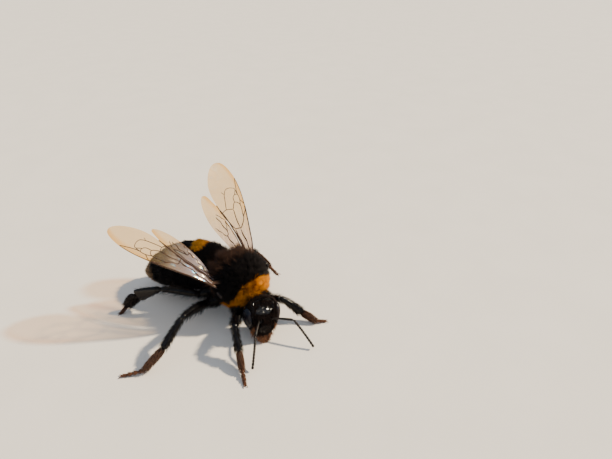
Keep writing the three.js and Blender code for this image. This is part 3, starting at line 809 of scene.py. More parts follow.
def add_spur(form, root, heading, length, radius, part):
    share = np.linspace(0, 1, 8)
    path = root + heading * length * column(share)
    form.tube(path, np.maximum(radius * (1 - share), 0.008), sides=8, part=part)


def add_claw(form, toe, along, side, legs):
    """A hooked claw with a small inner tooth."""
    heading = turned(unit(along * (1, 1, 0.15)), "Z", side * legs.claw_spread)
    length = mm(legs.claw)
    share = np.linspace(0, 1, 16)
    drop = np.array((0, 0, -1.0))
    path = (toe + heading * column(length * np.sin(share * 1.45))
            + drop * column(0.30 * length * share ** 2.2 - 0.08 * np.sin(share * math.pi)))
    form.tube(path, np.maximum(CLAW_RADIUS * (1 - share) ** 0.7, 0.012), sides=10, part=5)
    root = toe + heading * 0.28 * length
    add_spur(form, root, unit(heading + drop * 0.9), TOOTH_LENGTH, TOOTH_RADIUS, 5)


def build_leg(name, joints, legs, material):
    """One leg: coxa, trochanter, femur, tibia with its spurs, five tarsal joints and the claws."""
    coxa, trochanter, knee, ankle, heel, toe = (np.array(joint) for joint in joints)
    is_hind, up = name.startswith("hind"), np.array((0, 0, 1.0))
    outward = unit(np.cross(ankle - trochanter, up))
    lean, shin, foot = unit(knee - trochanter), unit(ankle - knee), unit(heel - ankle)
    form = Form()
    add_limb(form, coxa, trochanter, (0, 0, 0), COXA, 0.2, 18, broad=outward, sides=20)
    form.ball(trochanter + 0.12 * lean, TROCHANTER_RADII, rows=12, sides=18)
    add_limb(form, trochanter + 0.1 * lean, knee, 0.12 * outward + 0.1 * up, FEMUR, 0.09, 30,
             broad=up, sides=22, part=1)
    add_limb(form, knee - 0.12 * shin, ankle, 0.08 * up, HIND_TIBIA if is_hind else TIBIA, 0.06, 34,
             broad=up, sides=24, part=2)
    if not name.startswith("front"):
        under = unit(np.cross(shin, outward))
        for shift in (-SPUR_SHIFT, SPUR_SHIFT):
            root = ankle - 0.18 * shin + shift * outward
            heading = unit(shin + 0.3 * under * np.sign(-under[2]))
            add_spur(form, root, heading, SPUR_LENGTH, SPUR_RADIUS, 3)
    add_limb(form, ankle - 0.08 * foot, heel, 0.05 * up, HIND_METATARSUS if is_hind else METATARSUS,
             0.07, 28, broad=up, sides=20, part=3)
    step = toe - heel
    along = unit(step)
    local = np.linspace(0, 1, 14)
    for joint in range(TARSOMERES):
        start, end = (heel + step * (joint + shift) / TARSOMERES for shift in TARSOMERE_SPAN)
        wide = TARSUS_RADIUS * (0.45 + 0.60 * local ** 0.8) * rounded((1 - local) / 0.18, 0.05)
        wide *= 0.88 if joint == TARSOMERES - 1 else 1
        form.tube(start + (end - start) * column(local), wide, 0.8 * wide,
                  broad=np.cross(up, along), sides=14, part=4)
    for side in SIDES.values():
        add_claw(form, toe - 0.12 * along, along, side, legs)
    form.ball(toe + 0.1 * along, TOE_RADII, rows=8, sides=12, part=5)
    points, parts = np.vstack(form.points), np.concatenate(form.parts)
    points[:, 2] = np.maximum(points[:, 2], 0.0)
    leg = link(f"leg_{name}", raw_mesh(f"leg_{name}", points, form.faces))
    reach = np.clip(np.linalg.norm(points - ankle, axis=1) / 2, 0, 1)
    rust = np.select([parts >= 4, parts == 3], [np.ones(len(points)), 0.1 + 0.2 * reach], 0.0)
    set_values(leg.data, "rust", "FLOAT", rust * (RUST_HIND if is_hind else RUST_OTHERS))
    set_values(leg.data, "part", "FLOAT", parts)
    nodes = [f"{part}_{name}" for part in ("coxa", "femur", "tibia", "metatarsus", "tarsus")]
    return settle(leg, material, nodes)


# ---------------------------------------------------------------- wings

def wing_axes(pose):
    root, tip, chord = (np.array(pose[key]) for key in ("root", "tip", "chord"))
    along = unit(tip - root)
    across = unit(chord - along * (chord @ along))
    normal = unit(np.cross(along, across))
    return root, along, across, normal if normal[2] > 0 else -normal


def edges_at(table, distance):
    """The wing's front and rear edges at a distance from the hinge."""
    return (np.interp(distance, table[:, 0], table[:, i]) for i in (1, 2))


def on_wing(pose, table, flat, lift=0.0):
    """From the wing's flat plan to its place, with its camber, its shoulder and its fine pleats."""
    root, along, across, normal = wing_axes(pose)
    length = WING_LENGTH / 100
    distance, back = np.asarray(flat, float).T
    lead, trail = edges_at(table, distance)
    share = np.clip((back - lead) / (trail - lead), 0, 1)
    bulge = WING_CAMBER * (trail - lead) * length * 4 * share * (1 - share)
    sunk = SHOULDER_DROP * np.maximum(1 - distance / SHOULDER_REACH, 0) ** 2
    pleat = PLEAT * np.sin(1.15 * back + 0.10 * distance) + RIPPLE * np.sin(0.37 * distance - 0.3 * back)
    pleat *= smoothstep(distance, 5, 16) * (0.12 + 0.88 * smoothstep(distance, 62, 34))
    pleat *= np.minimum(1, 6 * share * (1 - share))
    return (root + along * column(distance * length) + across * column((back - ROOT_LINE) * length)
            + normal * column(bulge - sunk + pleat + lift))


def inside(outline, points):
    """Which points lie inside a closed outline."""
    x, y = points[:, 0], points[:, 1]
    crossings = np.zeros(len(points), bool)
    for (x1, y1), (x2, y2) in zip(outline, np.roll(outline, -1, 0)):
        spans = (y1 > y) != (y2 > y)
        with np.errstate(divide="ignore", invalid="ignore"):
            crossings ^= spans & (x < (x2 - x1) * (y - y1) / (y2 - y1) + x1)
    return crossings


def build_membrane(name, pose, table, wings, material, replaced):
    """A thin closed sheet: the wing's outline filled with small triangles, on both faces."""
    outline = spline(np.vstack((table[:, :2], table[::-1, ::2])), OUTLINE_STEPS, closed=True)
    spacing = mm(wings.grain) / (WING_LENGTH / 100)
    across, back = (np.arange(outline[:, i].min(), outline[:, i].max(), step)
                    for i, step in enumerate((spacing, spacing * ROW_SPACING)))
    grid = np.array([(a + (row % 2) * spacing / 2, b) for row, b in enumerate(back) for a in across])
    gap = np.linalg.norm(grid[:, None] - outline[None], axis=2).min(1)
    grid = grid[inside(outline, grid) & (gap > BORDER_GAP * spacing)]
    count = len(outline)
    corners = [Vector(point) for point in np.vstack((outline, grid))]
    laid, _, triangles, *_ = delaunay_2d_cdt(corners, [], [list(range(count))], 1, 1e-5)
    flat = np.array([tuple(point) for point in laid])
    total = len(flat)
    if total != len(corners):
        raise RuntimeError(f"{name}: the wing's outline crosses itself")
    half = mm(wings.membrane) / 2
    points = np.vstack([on_wing(pose, table, flat, lift) for lift in (half, -half)])
    faces = [tuple(t) for t in triangles] + [tuple(i + total for i in reversed(t)) for t in triangles]
    faces += [(i + total, (i + 1) % count + total, (i + 1) % count, i) for i in range(count)]
    wing = link(name, raw_mesh(name, points, facing_out(points, faces)))
    make_consistent(wing.data)
    distance, back = flat.T
    lead, _ = edges_at(table, distance)
    front = smoothstep(back - lead, 8, 1) * (0.35 + 0.65 * smoothstep(distance, 40, 60))
    # near is 1 by the hinge: there the membrane is glossier and carries the painted pale sheen.
    set_values(wing.data, "near", "FLOAT", np.tile(smoothstep(distance, 62, 18), 2))
    set_values(wing.data, "front", "FLOAT", np.tile(front, 2))
    return settle(wing, material, replaced)


def make_consistent(mesh):
    """Turns every face of a closed mesh outwards."""
    shape = bmesh.new()
    shape.from_mesh(mesh)
    bmesh.ops.recalc_face_normals(shape, faces=shape.faces)
    shape.to_mesh(mesh)
    shape.free()


def build_veins(name, pose, table, veins, wings, material):
    """Round veins along the wing, thinner towards its tip."""
    form = Form()
    for radius, route in veins:
        flat = spline([NODES_OF_WING[key] for key in route.split()], OUTLINE_STEPS)
        width = radius * wings.vein * (1.25 - 0.55 * np.clip(flat[:, 0] / 90, 0, 1))
        width[0] *= 0.5
        width[-1] *= 0.4
        path = on_wing(pose, table, flat)
        form.tube(path, width, 0.9 * width, broad=wing_axes(pose)[3], sides=8)
    return make_piece(name, form, material)


def build_hinge(name, pose, material):
    """The brown plates that carry the wing on the side of the thorax."""
    root, along, across, normal = wing_axes(pose)
    shoulder = on_wing(pose, FOREWING, [(5, 7.2)])[0]
    seat = THORAX_CENTRE + unit(root - THORAX_CENTRE) * HINGE_SEAT
    share = np.linspace(0, 1, 16)
    form = Form()
    middle = (seat + shoulder) / 2 + 0.15 * normal
    form.tube(arc(seat, middle, shoulder, share), *profile(HINGE_WIDTHS, share, 0.15), broad=across)
    for distance, back, reach, breadth in HINGE_PLATES:
        centre = on_wing(pose, FOREWING, [(distance, back)])[0]
        turn = np.stack((along, across, normal), 1)
        form.ball(centre, (reach, breadth, 0.11), turn, rows=12, sides=16)
    return make_piece(name, form, material)


def build_tegula(name, side, material):
    """The shell scale over a wing's hinge."""
    form = Form()
    centre = thorax_turn() @ (np.array(TEGULA_PLACE) * (side, 1, 1)) + THORAX_CENTRE
    form.ball(centre, TEGULA_RADII, thorax_turn(), rows=24, sides=32)
    return make_piece(f"shoulder_scale_{name}", form, material, (f"tegula_{name}",))


# ---------------------------------------------------------------- coat

HAIR_SIDES, HAIR_WAIST = 3, 0.72      # a hair has three sides, and narrows halfway along
PATCH_RINGS = (0.46, 0.26)            # radii of a hair's foot and waist on its patch of the map
FLOOR_AIR = 0.02                      # millimetres kept between the coat and the floor
LEAST_WEIGHT = 0.02                   # no hair grows where a coat's weight is less
MAP_MARGIN, MAP_PATCH = 0.01, 0.003   # edge of the coat's map, and breadth of a hair's patch on it
FIRST_LEG_SEED, FOOT_SEED = 41, 50
COAT_INPUTS = {
    "Geometry": "Geometry", "Hair": "Object", "Hair radius": "Float", "Shortest hair": "Float",
    "Spread": "Float", "Locks per mm": "Float", "Lock pull": "Float", "Lock tilt": "Float",
    "Map patch": "Float", "Seed": "Int", "Material": "Material",
}
# Root and tip colours of the hairs that the settings give no colour for; their darker roots are painted
# shade within the coat.
DARK_TONES = {
    "black": ((0.004, 0.003, 0.003), (0.010, 0.007, 0.007)),
    # The brown tips here and on the fringe are a painted glow of light shining through black hair.
    "brown_tipped": ((0.005, 0.003, 0.003), (0.070, 0.034, 0.020)),
    "fringe": ((0.005, 0.003, 0.003), (0.075, 0.036, 0.022)),
    "face": ((0.003, 0.002, 0.002), (0.020, 0.011, 0.009)),
    "beard": ((0.035, 0.013, 0.006), (0.32, 0.13, 0.055)),
    "bristle": ((0.003, 0.002, 0.002), (0.012, 0.008, 0.007)),
    "foot": ((0.045, 0.018, 0.010), (0.20, 0.088, 0.045)),
}
# Roots of the coloured coats are a darker share of their tips: painted shade within the coat.
PAINTED_ROOT_SHADE = {"collar": 0.9, "band": 0.7, "tail": 0.45}
FINE_COATS = ("bristle", "foot", "face", "beard")
LEG_COATS = ("bristle", "foot")
GLOSSY_COATS = ("tail", "beard", "foot")
GATHERED_COATS = ("fringe", "face", "beard")
HAIR_THICKNESS, LOCK_BREADTHS = {"fringe": 1.3}, {"fringe": 1.8}
HAIR_GLOSS, DULL_GLOSS = 0.3, 0.08
SHORTEST_HAIR, SHORTEST_BRISTLE = 0.55, 0.7   # as shares of the longest beside it
STRAY, GATHER = 0.22, 1.5                     # how far hairs stray, and how much more some locks gather
# Pieces of the abdomen's coat: hairs, length, rise, sag, look, seed and slot.
ABDOMEN_COATS = {
    "base": (10000, 1.15, 0.85, 0.35, "black", 21, "coat_black"),
    "band": (6000, 0.95, 0.5, 0.20, "band", 22, "coat_collar"),
    "middle": (19000, 0.78, 0.36, 0.14, "black", 23, "coat_black"),
    "rear": (17000, 0.85, 0.40, 0.14, "black", 25, "coat_black"),
    "tail": (7000, 1.05, 0.46, 0.15, "tail", 24, "coat_tail"),
}
# Share, length and rise of the hairs on coxa, femur, tibia, metatarsus, tarsus and claws.
LEG_COAT = (
    (1.0, 0.35, 0.5, 1.2, 1.0, 0.0), (0.75, 0.65, 0.62, 0.48, 0.22, 0.1), (0.9, 0.8, 0.62, 0.55, 0.6, 0.5),
)


def hair_template():
    """One straight hair, one long and one thick. Its map is a small disc, with its foot in a corner."""
    angle = np.arange(HAIR_SIDES) * 2 * math.pi / HAIR_SIDES
    ring = np.stack((np.cos(angle), np.sin(angle)), 1)
    waist = HAIR_WAIST * ring
    points = np.vstack((np.insert(ring, 2, 0, 1), np.insert(waist, 2, 0.5, 1), (0, 0, 1)))
    on_disc = np.vstack([0.5 + radius * ring for radius in PATCH_RINGS] + [(0.5, 0.5)])
    faces = []
    for i in range(HAIR_SIDES):
        j = (i + 1) % HAIR_SIDES
        up_i, up_j, tip = i + HAIR_SIDES, j + HAIR_SIDES, 2 * HAIR_SIDES
        faces += [(i, j, up_j), (i, up_j, up_i), (up_i, up_j, tip)]
    patch = [on_disc[i] for face in faces for i in face] + [(0.02, 0.10), (0.10, 0.02), (0.02, 0.02)]
    mesh = raw_mesh("hair", points, faces + [(2, 1, 0)])
    mesh.uv_layers.new(name="patch").data.foreach_set("uv", np.array(patch, np.float32).ravel())
    set_values(mesh, "along", "FLOAT", points[:, 2])
    return link("hair", mesh)


class Tree(Graph):
    """A Geometry Nodes tree with named inputs."""

    def __init__(self, name, inputs):
        super().__init__(bpy.data.node_groups.new(name, "GeometryNodeTree"))
        new_socket = self.tree.interface.new_socket
        new_socket("Geometry", in_out="OUTPUT", socket_type="NodeSocketGeometry")
        for label, kind in inputs.items():
            new_socket(label, in_out="INPUT", socket_type=f"NodeSocket{kind}")

    def named(self, name, kind="FLOAT"):
        outputs = self.node("GeometryNodeInputNamedAttribute", {"Name": name}, data_type=kind)
        return in_use(outputs, "Attribute")

    def maths(self, operation, *values, kind="ShaderNodeMath"):
        node = self.tree.nodes.new(kind)
        node.operation = operation
        for socket, value in zip(node.inputs, values):
            self.feed(socket, value)
        return node.outputs[0]

    def vector(self, operation, first, second):
        return self.maths(operation, first, second, kind="ShaderNodeVectorMath")

    def scaled(self, vector, scale):
        inputs = {"Vector": vector, "Scale": scale}
        return self.node("ShaderNodeVectorMath", inputs, operation="SCALE")[0]

    def random(self, kind, low, high, seed):
        ends = {"Min": low, "Max": high, "Seed": seed}
        return in_use(self.node("FunctionNodeRandomValue", ends, data_type=kind), "Value")

    def store(self, geometry, name, kind, domain, value):
        inputs = {"Name": name, "Geometry": geometry, "Value": value}
        return self.node("GeometryNodeStoreNamedAttribute", inputs, data_type=kind, domain=domain)[0]


def coat_tree():
    """Hairs scattered on a skin by its density, rooted in its lie and bent towards their tips."""
    coat = Tree("Coat of hairs", COAT_INPUTS)
    given = coat.node("NodeGroupInput")
    scatter = coat.node("GeometryNodeDistributePointsOnFaces", {
        "Mesh": given["Geometry"], "Density": coat.named("coat_density"), "Seed": given["Seed"],
    }, distribute_method="RANDOM")
    strand_seed, stray_seed, length_seed = (
        coat.maths("ADD", given["Seed"], step) for step in (101.0, 202.0, 303.0))
    # Locks: each hair leans to the middle of its own cell, and whole cells lean their own way.
    place = coat.node("GeometryNodeInputPosition")["Position"]
    lock = coat.node("ShaderNodeTexVoronoi", {"Vector": place, "Scale": given["Locks per mm"]})
    inward = coat.vector("SUBTRACT", lock["Position"], place)
    inward = coat.vector("SUBTRACT", inward, coat.vector("PROJECT", inward, scatter["Normal"]))
    own_way = coat.scaled(coat.vector("SUBTRACT", lock["Color"], (0.5, 0.5, 0.5)), given["Lock tilt"])
    gather = coat.vector("ADD", coat.scaled(inward, given["Lock pull"]), coat.scaled(own_way, 0.5))
    strands = coat.store(scatter["Points"], "strand", "FLOAT", "POINT",
                         coat.random("FLOAT", 0.0, 1.0, strand_seed))
    strands = coat.store(strands, "gather", "FLOAT_VECTOR", "POINT", gather)
    # Hairs: each is planted along its lie, as long and thick as it should be.
    stray = coat.random("FLOAT_VECTOR", (-1, -1, -1), (1, 1, 1), stray_seed)
    heading = coat.named("coat_root", "FLOAT_VECTOR")
    heading = coat.vector("ADD", heading, coat.scaled(stray, given["Spread"]))
    heading = coat.vector("ADD", heading, own_way)
    turn = coat.node("FunctionNodeAlignRotationToVector", {"Vector": heading}, axis="Z")["Rotation"]
    length = coat.maths("MULTIPLY", coat.named("coat_length"),
                        coat.random("FLOAT", given["Shortest hair"], 1.0, length_seed))
    thick = given["Hair radius"]
    size = coat.node("ShaderNodeCombineXYZ", {"X": thick, "Y": thick, "Z": length})["Vector"]
    hair = coat.node("GeometryNodeObjectInfo", {"Object": given["Hair"]})["Geometry"]
    plant = coat.node("GeometryNodeInstanceOnPoints", {
        "Points": strands, "Instance": hair, "Rotation": turn, "Scale": size,
    })
    real = coat.node("GeometryNodeRealizeInstances", {"Geometry": plant["Instances"]})["Geometry"]
    # Bend: a hair's tip moves with the square of its distance from the root.
    swing = coat.maths("MULTIPLY", coat.maths("POWER", coat.named("along"), 2.0), coat.named("coat_length"))
    bend = coat.vector("ADD", coat.named("coat_bend", "FLOAT_VECTOR"), coat.named("gather", "FLOAT_VECTOR"))
    comb = coat.node("GeometryNodeSetPosition", {"Geometry": real, "Offset": coat.scaled(bend, swing)})
    patch = coat.scaled(coat.named("patch", "FLOAT_VECTOR"), given["Map patch"])
    spot = coat.vector("ADD", coat.named("coat_map", "FLOAT_VECTOR"), patch)
    mapped = coat.store(comb["Geometry"], "OFBake", "FLOAT2", "CORNER", spot)
    dyed = coat.node("GeometryNodeSetMaterial", {"Geometry": mapped, "Material": given["Material"]})
    coat.node("NodeGroupOutput", {"Geometry": dyed["Geometry"]})
    return coat.tree


def set_input(modifier, name, value):
    socket = next(s for s in modifier.node_group.interface.items_tree
                  if s.item_type == "SOCKET" and s.in_out == "INPUT" and s.name == name)
    modifier[socket.identifier] = value


def loose_copy(piece):
    """A piece's mesh back in millimetres, to work from."""
    mesh = piece.data.copy()
    mesh.transform(Matrix.Translation(-FRAME_SHIFT) @ Matrix.Scale(1 / MM, 4))
    return mesh


def point_areas(mesh):
    """The share of the skin's area that belongs to each point."""
    areas = np.zeros(len(mesh.vertices))
    for face in mesh.polygons:
        areas[list(face.vertices)] += face.area / len(face.vertices)
    return areas


def grow_coat(name, ground, hairs, weight, lie, place, look, seed):
    """Grows a piece of coat: about that many hairs, shared out over the skin by their weight.

    The lie is the hairs' length, the way they leave the skin and the way that they bend.
    """
    mesh = ground.copy()
    keep = weight > LEAST_WEIGHT
    weight = np.where(keep, weight, 0)
    density = weight * hairs / max(float((weight * point_areas(mesh)).sum()), 1e-9)
    low, high = place[keep].min(0), place[keep].max(0)
    spot = MAP_MARGIN + (1 - 2 * MAP_MARGIN) * (place - low) / np.maximum(high - low, 1e-6)
    length, root, bend = lie
    guides = {"coat_density": density, "coat_length": length, "coat_root": unit(root),
              "coat_bend": bend, "coat_map": np.c_[spot, np.zeros(len(spot))]}
    for guide, values in guides.items():
        set_values(mesh, guide, "FLOAT" if values.ndim == 1 else "FLOAT_VECTOR", values)
    piece = link(name, mesh)
    modifier = piece.modifiers.new("coat", "NODES")
    modifier.node_group = bpy.data.node_groups.get("Coat of hairs") or coat_tree()
    template = bpy.data.objects.get("hair") or hair_template()
    for socket, value in {**look, "Hair": template, "Map patch": MAP_PATCH, "Seed": seed}.items():
        set_input(modifier, socket, value)
    made_plain(piece, name)
    attributes = piece.data.attributes
    for attribute in ("patch", "gather", "marking", *guides):
        if attribute in attributes:
            attributes.remove(attributes[attribute])
    if not piece.data.polygons:
        raise RuntimeError(f"{name} grew no hair")
    points = points_of(piece.data)
    points[:, 2] = np.maximum(points[:, 2], FLOOR_AIR)
    piece.data.vertices.foreach_set("co", np.ascontiguousarray(points, np.float32).ravel())
    return settle(piece, look["Material"])


def along_skin(direction, normals):
    """The part of a direction that lies in the skin."""
    direction = np.asarray(direction, float)
    return unit(direction - normals * column((normals * direction).sum(1)))


def body_ground(piece):
    """The body skin's mesh with all that the coat needs to know at its points."""
    mesh = loose_copy(piece)
    points, normals = points_of(mesh), normals_of(mesh)
    place, on_thorax, collar, band, tail = body_markings(points)
    direction = unit(place["local"])
    polar = np.arccos(np.clip(-direction[:, 1], -1, 1))
    return {
        "mesh": mesh, "points": points, "normals": normals, "direction": direction,
        "local": place["local"], "share": place["share"], "under": smoothstep(-normals[:, 2], 0.25, 0.8),
        "thorax": on_thorax, "collar": collar, "band": band, "tail": tail,
        "back": along_skin((0, 1.0, 0.15), normals), "rear": along_skin(place["along"], normals),
        "thorax_map": np.stack((np.arctan2(direction[:, 0], direction[:, 2]), polar), -1),
        "abdomen_map": np.stack((place["around"], place["share"]), -1),
    }


def ragged(points, size, seed):
    """A slow wave over the skin, from 0 to 1, that gathers the coat in locks."""
    shift = np.random.default_rng(seed).uniform(0, 2 * math.pi, 6)
    x, y, z = (points / size).T
    wave = (np.sin(x + shift[0]) * np.sin(1.3 * y + shift[1]) + np.sin(1.7 * y + z + shift[2])
            * np.sin(1.1 * z - x + shift[3]) + np.sin(2.1 * z + shift[4]) * np.sin(0.9 * x + y + shift[5]))
    return np.clip(0.5 + wave / 3.4, 0, 1)


def locks(points, normals, flow, breadths, seed):
    """Slow waves over a skin: how long each lock is, and how far it turns aside from its flow."""
    lock, side_lock = (ragged(points, breadth, seed + i) for i, breadth in enumerate(breadths))
    return lock, column(side_lock - 0.5) * unit(np.cross(normals, flow))


def grow_thorax_coat(ground, coat, looks):
    """Black in front, brown-tipped behind with a long fringe, and the collar; the brown tips are a painted
    glow of light through black hair.
    """
    normals, back, along = ground["normals"], ground["back"], ground["local"][:, 1]
    lock, aside = locks(ground["points"], normals, back, (0.30, 0.22), 3)
    sparse_below = 1 - 0.6 * ground["under"]
    black = np.clip(ground["thorax"] - ground["collar"], 0, 1) * sparse_below
    front_half = smoothstep(along, 0.5, -0.3)
    rear_top = black * smoothstep(along + 0.7 * ground["local"][:, 2], 1.0, 2.6)
    lean = column(0.30 + 0.25 * smoothstep(ground["direction"][:, 1], -0.2, 0.8))
    coat_lie = (mm(coat.thorax_length) * (0.9 + 0.22 * lock) * (1 + 0.12 * smoothstep(along, 1.2, 2.6)),
                normals + lean * back + 0.35 * aside, column(0.10 + 0.30 * lock) * back + 0.4 * aside)
    fringe_lie = (np.full(len(lock), mm(coat.fringe_length)), normals + 0.25 * back + aside, 0.15 * back)
    collar_lie = (mm(coat.collar_length) * (0.85 + 0.3 * lock),
                  normals + column(0.12 + 0.2 * (lock - 0.5)) * back + 0.5 * aside,
                  0.12 * back + 0.5 * aside)
    for name, hairs, weight, lie, look, seed in (
        ("thorax_front", coat.thorax_hairs, black * front_half, coat_lie, "black", 11),
        ("thorax_back", coat.thorax_hairs, black * (1 - front_half), coat_lie, "brown_tipped", 12),
        ("thorax_fringe", coat.fringe_hairs, rear_top, fringe_lie, "fringe", 14),
        ("collar", coat.collar_hairs, ground["collar"] * sparse_below, collar_lie, "collar", 13),
    ):
        grow_coat(f"coat_{name}", ground["mesh"], hairs, weight, lie, ground["thorax_map"], looks[look],
                  seed)


def grow_abdomen_coat(ground, coat, looks):
    """Coat in bands that follow the plates, longer and thicker at each plate's rear edge."""
    normals, rear, share = ground["normals"], ground["rear"], ground["share"]
    lock, aside = locks(ground["points"], normals, rear, (0.34, 0.24), 5)
    aside = 0.45 * aside
    sparse_below = 1 - 0.72 * ground["under"]
    edge = smoothstep(along_plate(share), 0.55, 0.95)
    black = np.clip(1 - ground["thorax"] - ground["band"] - ground["tail"], 0, 1) * sparse_below
    first, hind = smoothstep(share, 0.24, 0.18), smoothstep(share, 0.50, 0.54)
    fuller = 0.55 + 0.45 * edge
    weights = {"base": black * first, "band": ground["band"] * sparse_below,
               "middle": black * (1 - first) * (1 - hind) * fuller, "rear": black * hind * fuller,
               "tail": ground["tail"] * sparse_below}
    for name, (hairs, length, rise, sag, look, seed, slot) in ABDOMEN_COATS.items():
        lie = (length * (0.82 + 0.2 * edge + 0.16 * lock),
               column(rise * (0.85 + 0.3 * lock)) * normals + rear + aside, sag * rear + 0.5 * aside)
        grow_coat(f"coat_abdomen_{name}", ground["mesh"], int(hairs * coat.fullness), weights[name], lie,
                  ground["abdomen_map"], looks[look], seed)


def grow_head_coat(piece, coat, looks):
    """Short coat on the head and a brown beard, with the eyes, sockets and crown left bare."""
    mesh = loose_copy(piece)
    points, normals = points_of(mesh), normals_of(mesh)
    local = in_head(points)
    x, y, z = local.T
    clear = np.ones(len(points))
    for name, side in SIDES.items():
        offset = (local - np.array(EYE_PLACE) * (side, 1, 1)) @ eye_turn(side)
        clear *= smoothstep(np.linalg.norm(offset / EYE_RADII, axis=1), *EYE_RIM)
        gap = np.linalg.norm(points - np.array(ANTENNAE[name]["socket"]), axis=1)
        clear *= smoothstep(gap, *SOCKET_RING)
    front = smoothstep(-y, 0.0, 0.6)
    crown_bare = smoothstep(oval(x, z, *BARE_CROWN), 1.0, 0.75) * smoothstep(-y, 0.0, 0.4)
    shield = smoothstep(oval(x, z, *THIN_SHIELD), 1.05, 0.75) * front
    frons = front * plateau(z, -0.7, -0.2, 1.0, 1.45)
    neck = smoothstep(np.linalg.norm(points - THORAX_CENTRE, axis=1), 2.9, 3.4)
    mouth = smoothstep(z, -1.8, -2.15)
    cheek = smoothstep(np.abs(x), 1.15, 1.6) * plateau(z, -2.0, -1.6, -0.2, 0.3) * front
    face = clear * neck * (1 - 0.9 * crown_bare) * (1 - 0.5 * shield) * (0.5 + 0.5 * frons)
    brown = clear * np.clip(mouth * (0.25 + 0.75 * front) + 0.3 * cheek, 0, 1)
    down, ahead = (unit(on_head(way) - HEAD_CENTRE) for way in ((0, 0.25, -1.0), (0, -1.0, 0.25)))
    flow = along_skin(down, normals)
    lock, aside = locks(points, normals, flow, (0.16, 0.12), 7)
    aside = 0.6 * aside
    length = mm(coat.face_length)
    face_lie = (length * (0.6 + 0.5 * frons + 0.25 * smoothstep(z, 2.0, 2.4)) * (0.85 + 0.3 * lock),
                normals + column(0.25 + 0.35 * (1 - frons)) * flow + aside, 0.15 * flow + 0.5 * aside)
    beard_lie = (length * (1.0 + 0.6 * lock), 0.45 * normals + down + 0.45 * ahead + aside,
                 0.1 * down + 0.3 * aside)
    head_map = np.stack((np.arctan2(x, -y), z), -1)
    grow_coat("coat_head", mesh, coat.head_hairs, face * (1 - mouth), face_lie, head_map, looks["face"],
              31)
    grow_coat("coat_beard", mesh, coat.beard_hairs, brown, beard_lie, head_map, looks["beard"],
              32)


def grow_leg_coat(name, piece, joints, coat, looks, seed):
    """Bristles along a leg and finer, redder hairs on its foot."""
    mesh = loose_copy(piece)
    points, normals = points_of(mesh), normals_of(mesh)
    part = np.empty(len(points), np.float32)
    mesh.attributes["part"].data.foreach_get("value", part)
    part = part.astype(int)
    ends, limb = np.array(joints, float), np.minimum(part, 4)
    starts, steps = ends[limb], (ends[1:] - ends[:-1])[limb]
    distal = unit(steps)
    share = ((points - starts) * steps).sum(1) / np.maximum((steps ** 2).sum(1), 1e-6)
    is_hind = name.startswith("hind")
    weights, lengths, rises = np.array(LEG_COAT)[:, part]
    lengths = lengths * (1 + 0.55 * (part == 1) * smoothstep(-normals[:, 2], -0.1, 0.7))
    if is_hind:
        # The hind shin's pollen basket is bare, with long hairs round its rim.
        basket = (part == 2) * smoothstep(share, 0.1, 0.25)
        rim = smoothstep(np.abs(normals[:, 2]), 0.55, 0.85)
        weights = weights * (1 - basket * (1 - rim) * 0.92)
        lengths = np.where(basket > 0, 0.3 + 0.62 * rim * basket, lengths)
    lie = (lengths, normals * column(rises) + distal, 0.12 * distal + np.array((0, 0, -0.05)))
    leg_map = np.stack((np.arctan2(normals[:, 2], normals[:, 0]), part + np.clip(share, 0, 0.99)), -1)
    rusty = (part >= (4 if is_hind else 3)).astype(float)
    foot = weights * rusty * smoothstep(points[:, 2], 0.05, 0.3)
    grow_coat(f"bristles_{name}", mesh, coat.leg_hairs, weights * (1 - 0.999 * rusty), lie, leg_map,
              looks["bristle"], seed)
    grow_coat(f"foot_hairs_{name}", mesh, coat.foot_hairs, foot, lie, leg_map, looks["foot"],
              seed + FOOT_SEED)


# ---------------------------------------------------------------- sizes and colours

def size(name, description, millimetres):
    return FloatProperty(name=name, description=description, default=millimetres * MM, unit="LENGTH",
                         precision=5)


def tint(name, description, colour):
    return FloatVectorProperty(name=name, description=description, default=colour, subtype="COLOR",
                               size=3, min=0, max=1)


class BodySettings(bpy.types.PropertyGroup):
    thorax_width: size("Thorax width", "Width of the thorax under its coat", 6.5)
    abdomen_width: size("Abdomen width", "Width of the abdomen under its coat", 7.7)
    abdomen_height: size("Abdomen height", "Height of the abdomen under its coat", 6.8)
    plate_step: size("Plate step", "Rise of each abdomen plate over the next one", 0.10)
    skin_grain: size("Skin grain", "Size of the faces of the body skin", 0.12)
    black: tint("Black", "Colour of the skin under black hair", (0.012, 0.009, 0.008))
    collar: tint("Collar", "Colour of the collar", (0.56, 0.195, 0.0))
    band: tint("Band", "Colour of the abdomen's band", (0.72, 0.32, 0.03))
    tail: tint("Tail", "Colour of the tail", (0.32, 0.19, 0.085))


def share(name, description, value):
    return FloatProperty(name=name, description=description, default=value, subtype="FACTOR",
                         min=0, soft_max=1)


def amount(name, description, value, **limits):
    return FloatProperty(name=name, description=description, default=value, **limits)


def count(name, description, value):
    return IntProperty(name=name, description=description, default=value, min=2)


class HeadSettings(bpy.types.PropertyGroup):
    coat_depth: size("Coat depth", "How far the head's skin lies under the tips of its coat", 0.2)
    shield_bulge: size("Shield bulge", "How far the face shield stands out", 0.2)
    ocellus: size("Ocellus", "Radius of the three small eyes on the crown", 0.13)
    antenna: size("Antenna", "Radius of the antenna's joints", 0.17)
    antenna_joints: count("Antenna joints", "Joints beyond the elbow", 11)


class LegSettings(bpy.types.PropertyGroup):
    claw: size("Claw", "Length of a claw", 0.62)
    claw_spread: amount("Claw spread", "Angle of each claw to the foot, in degrees", 26)


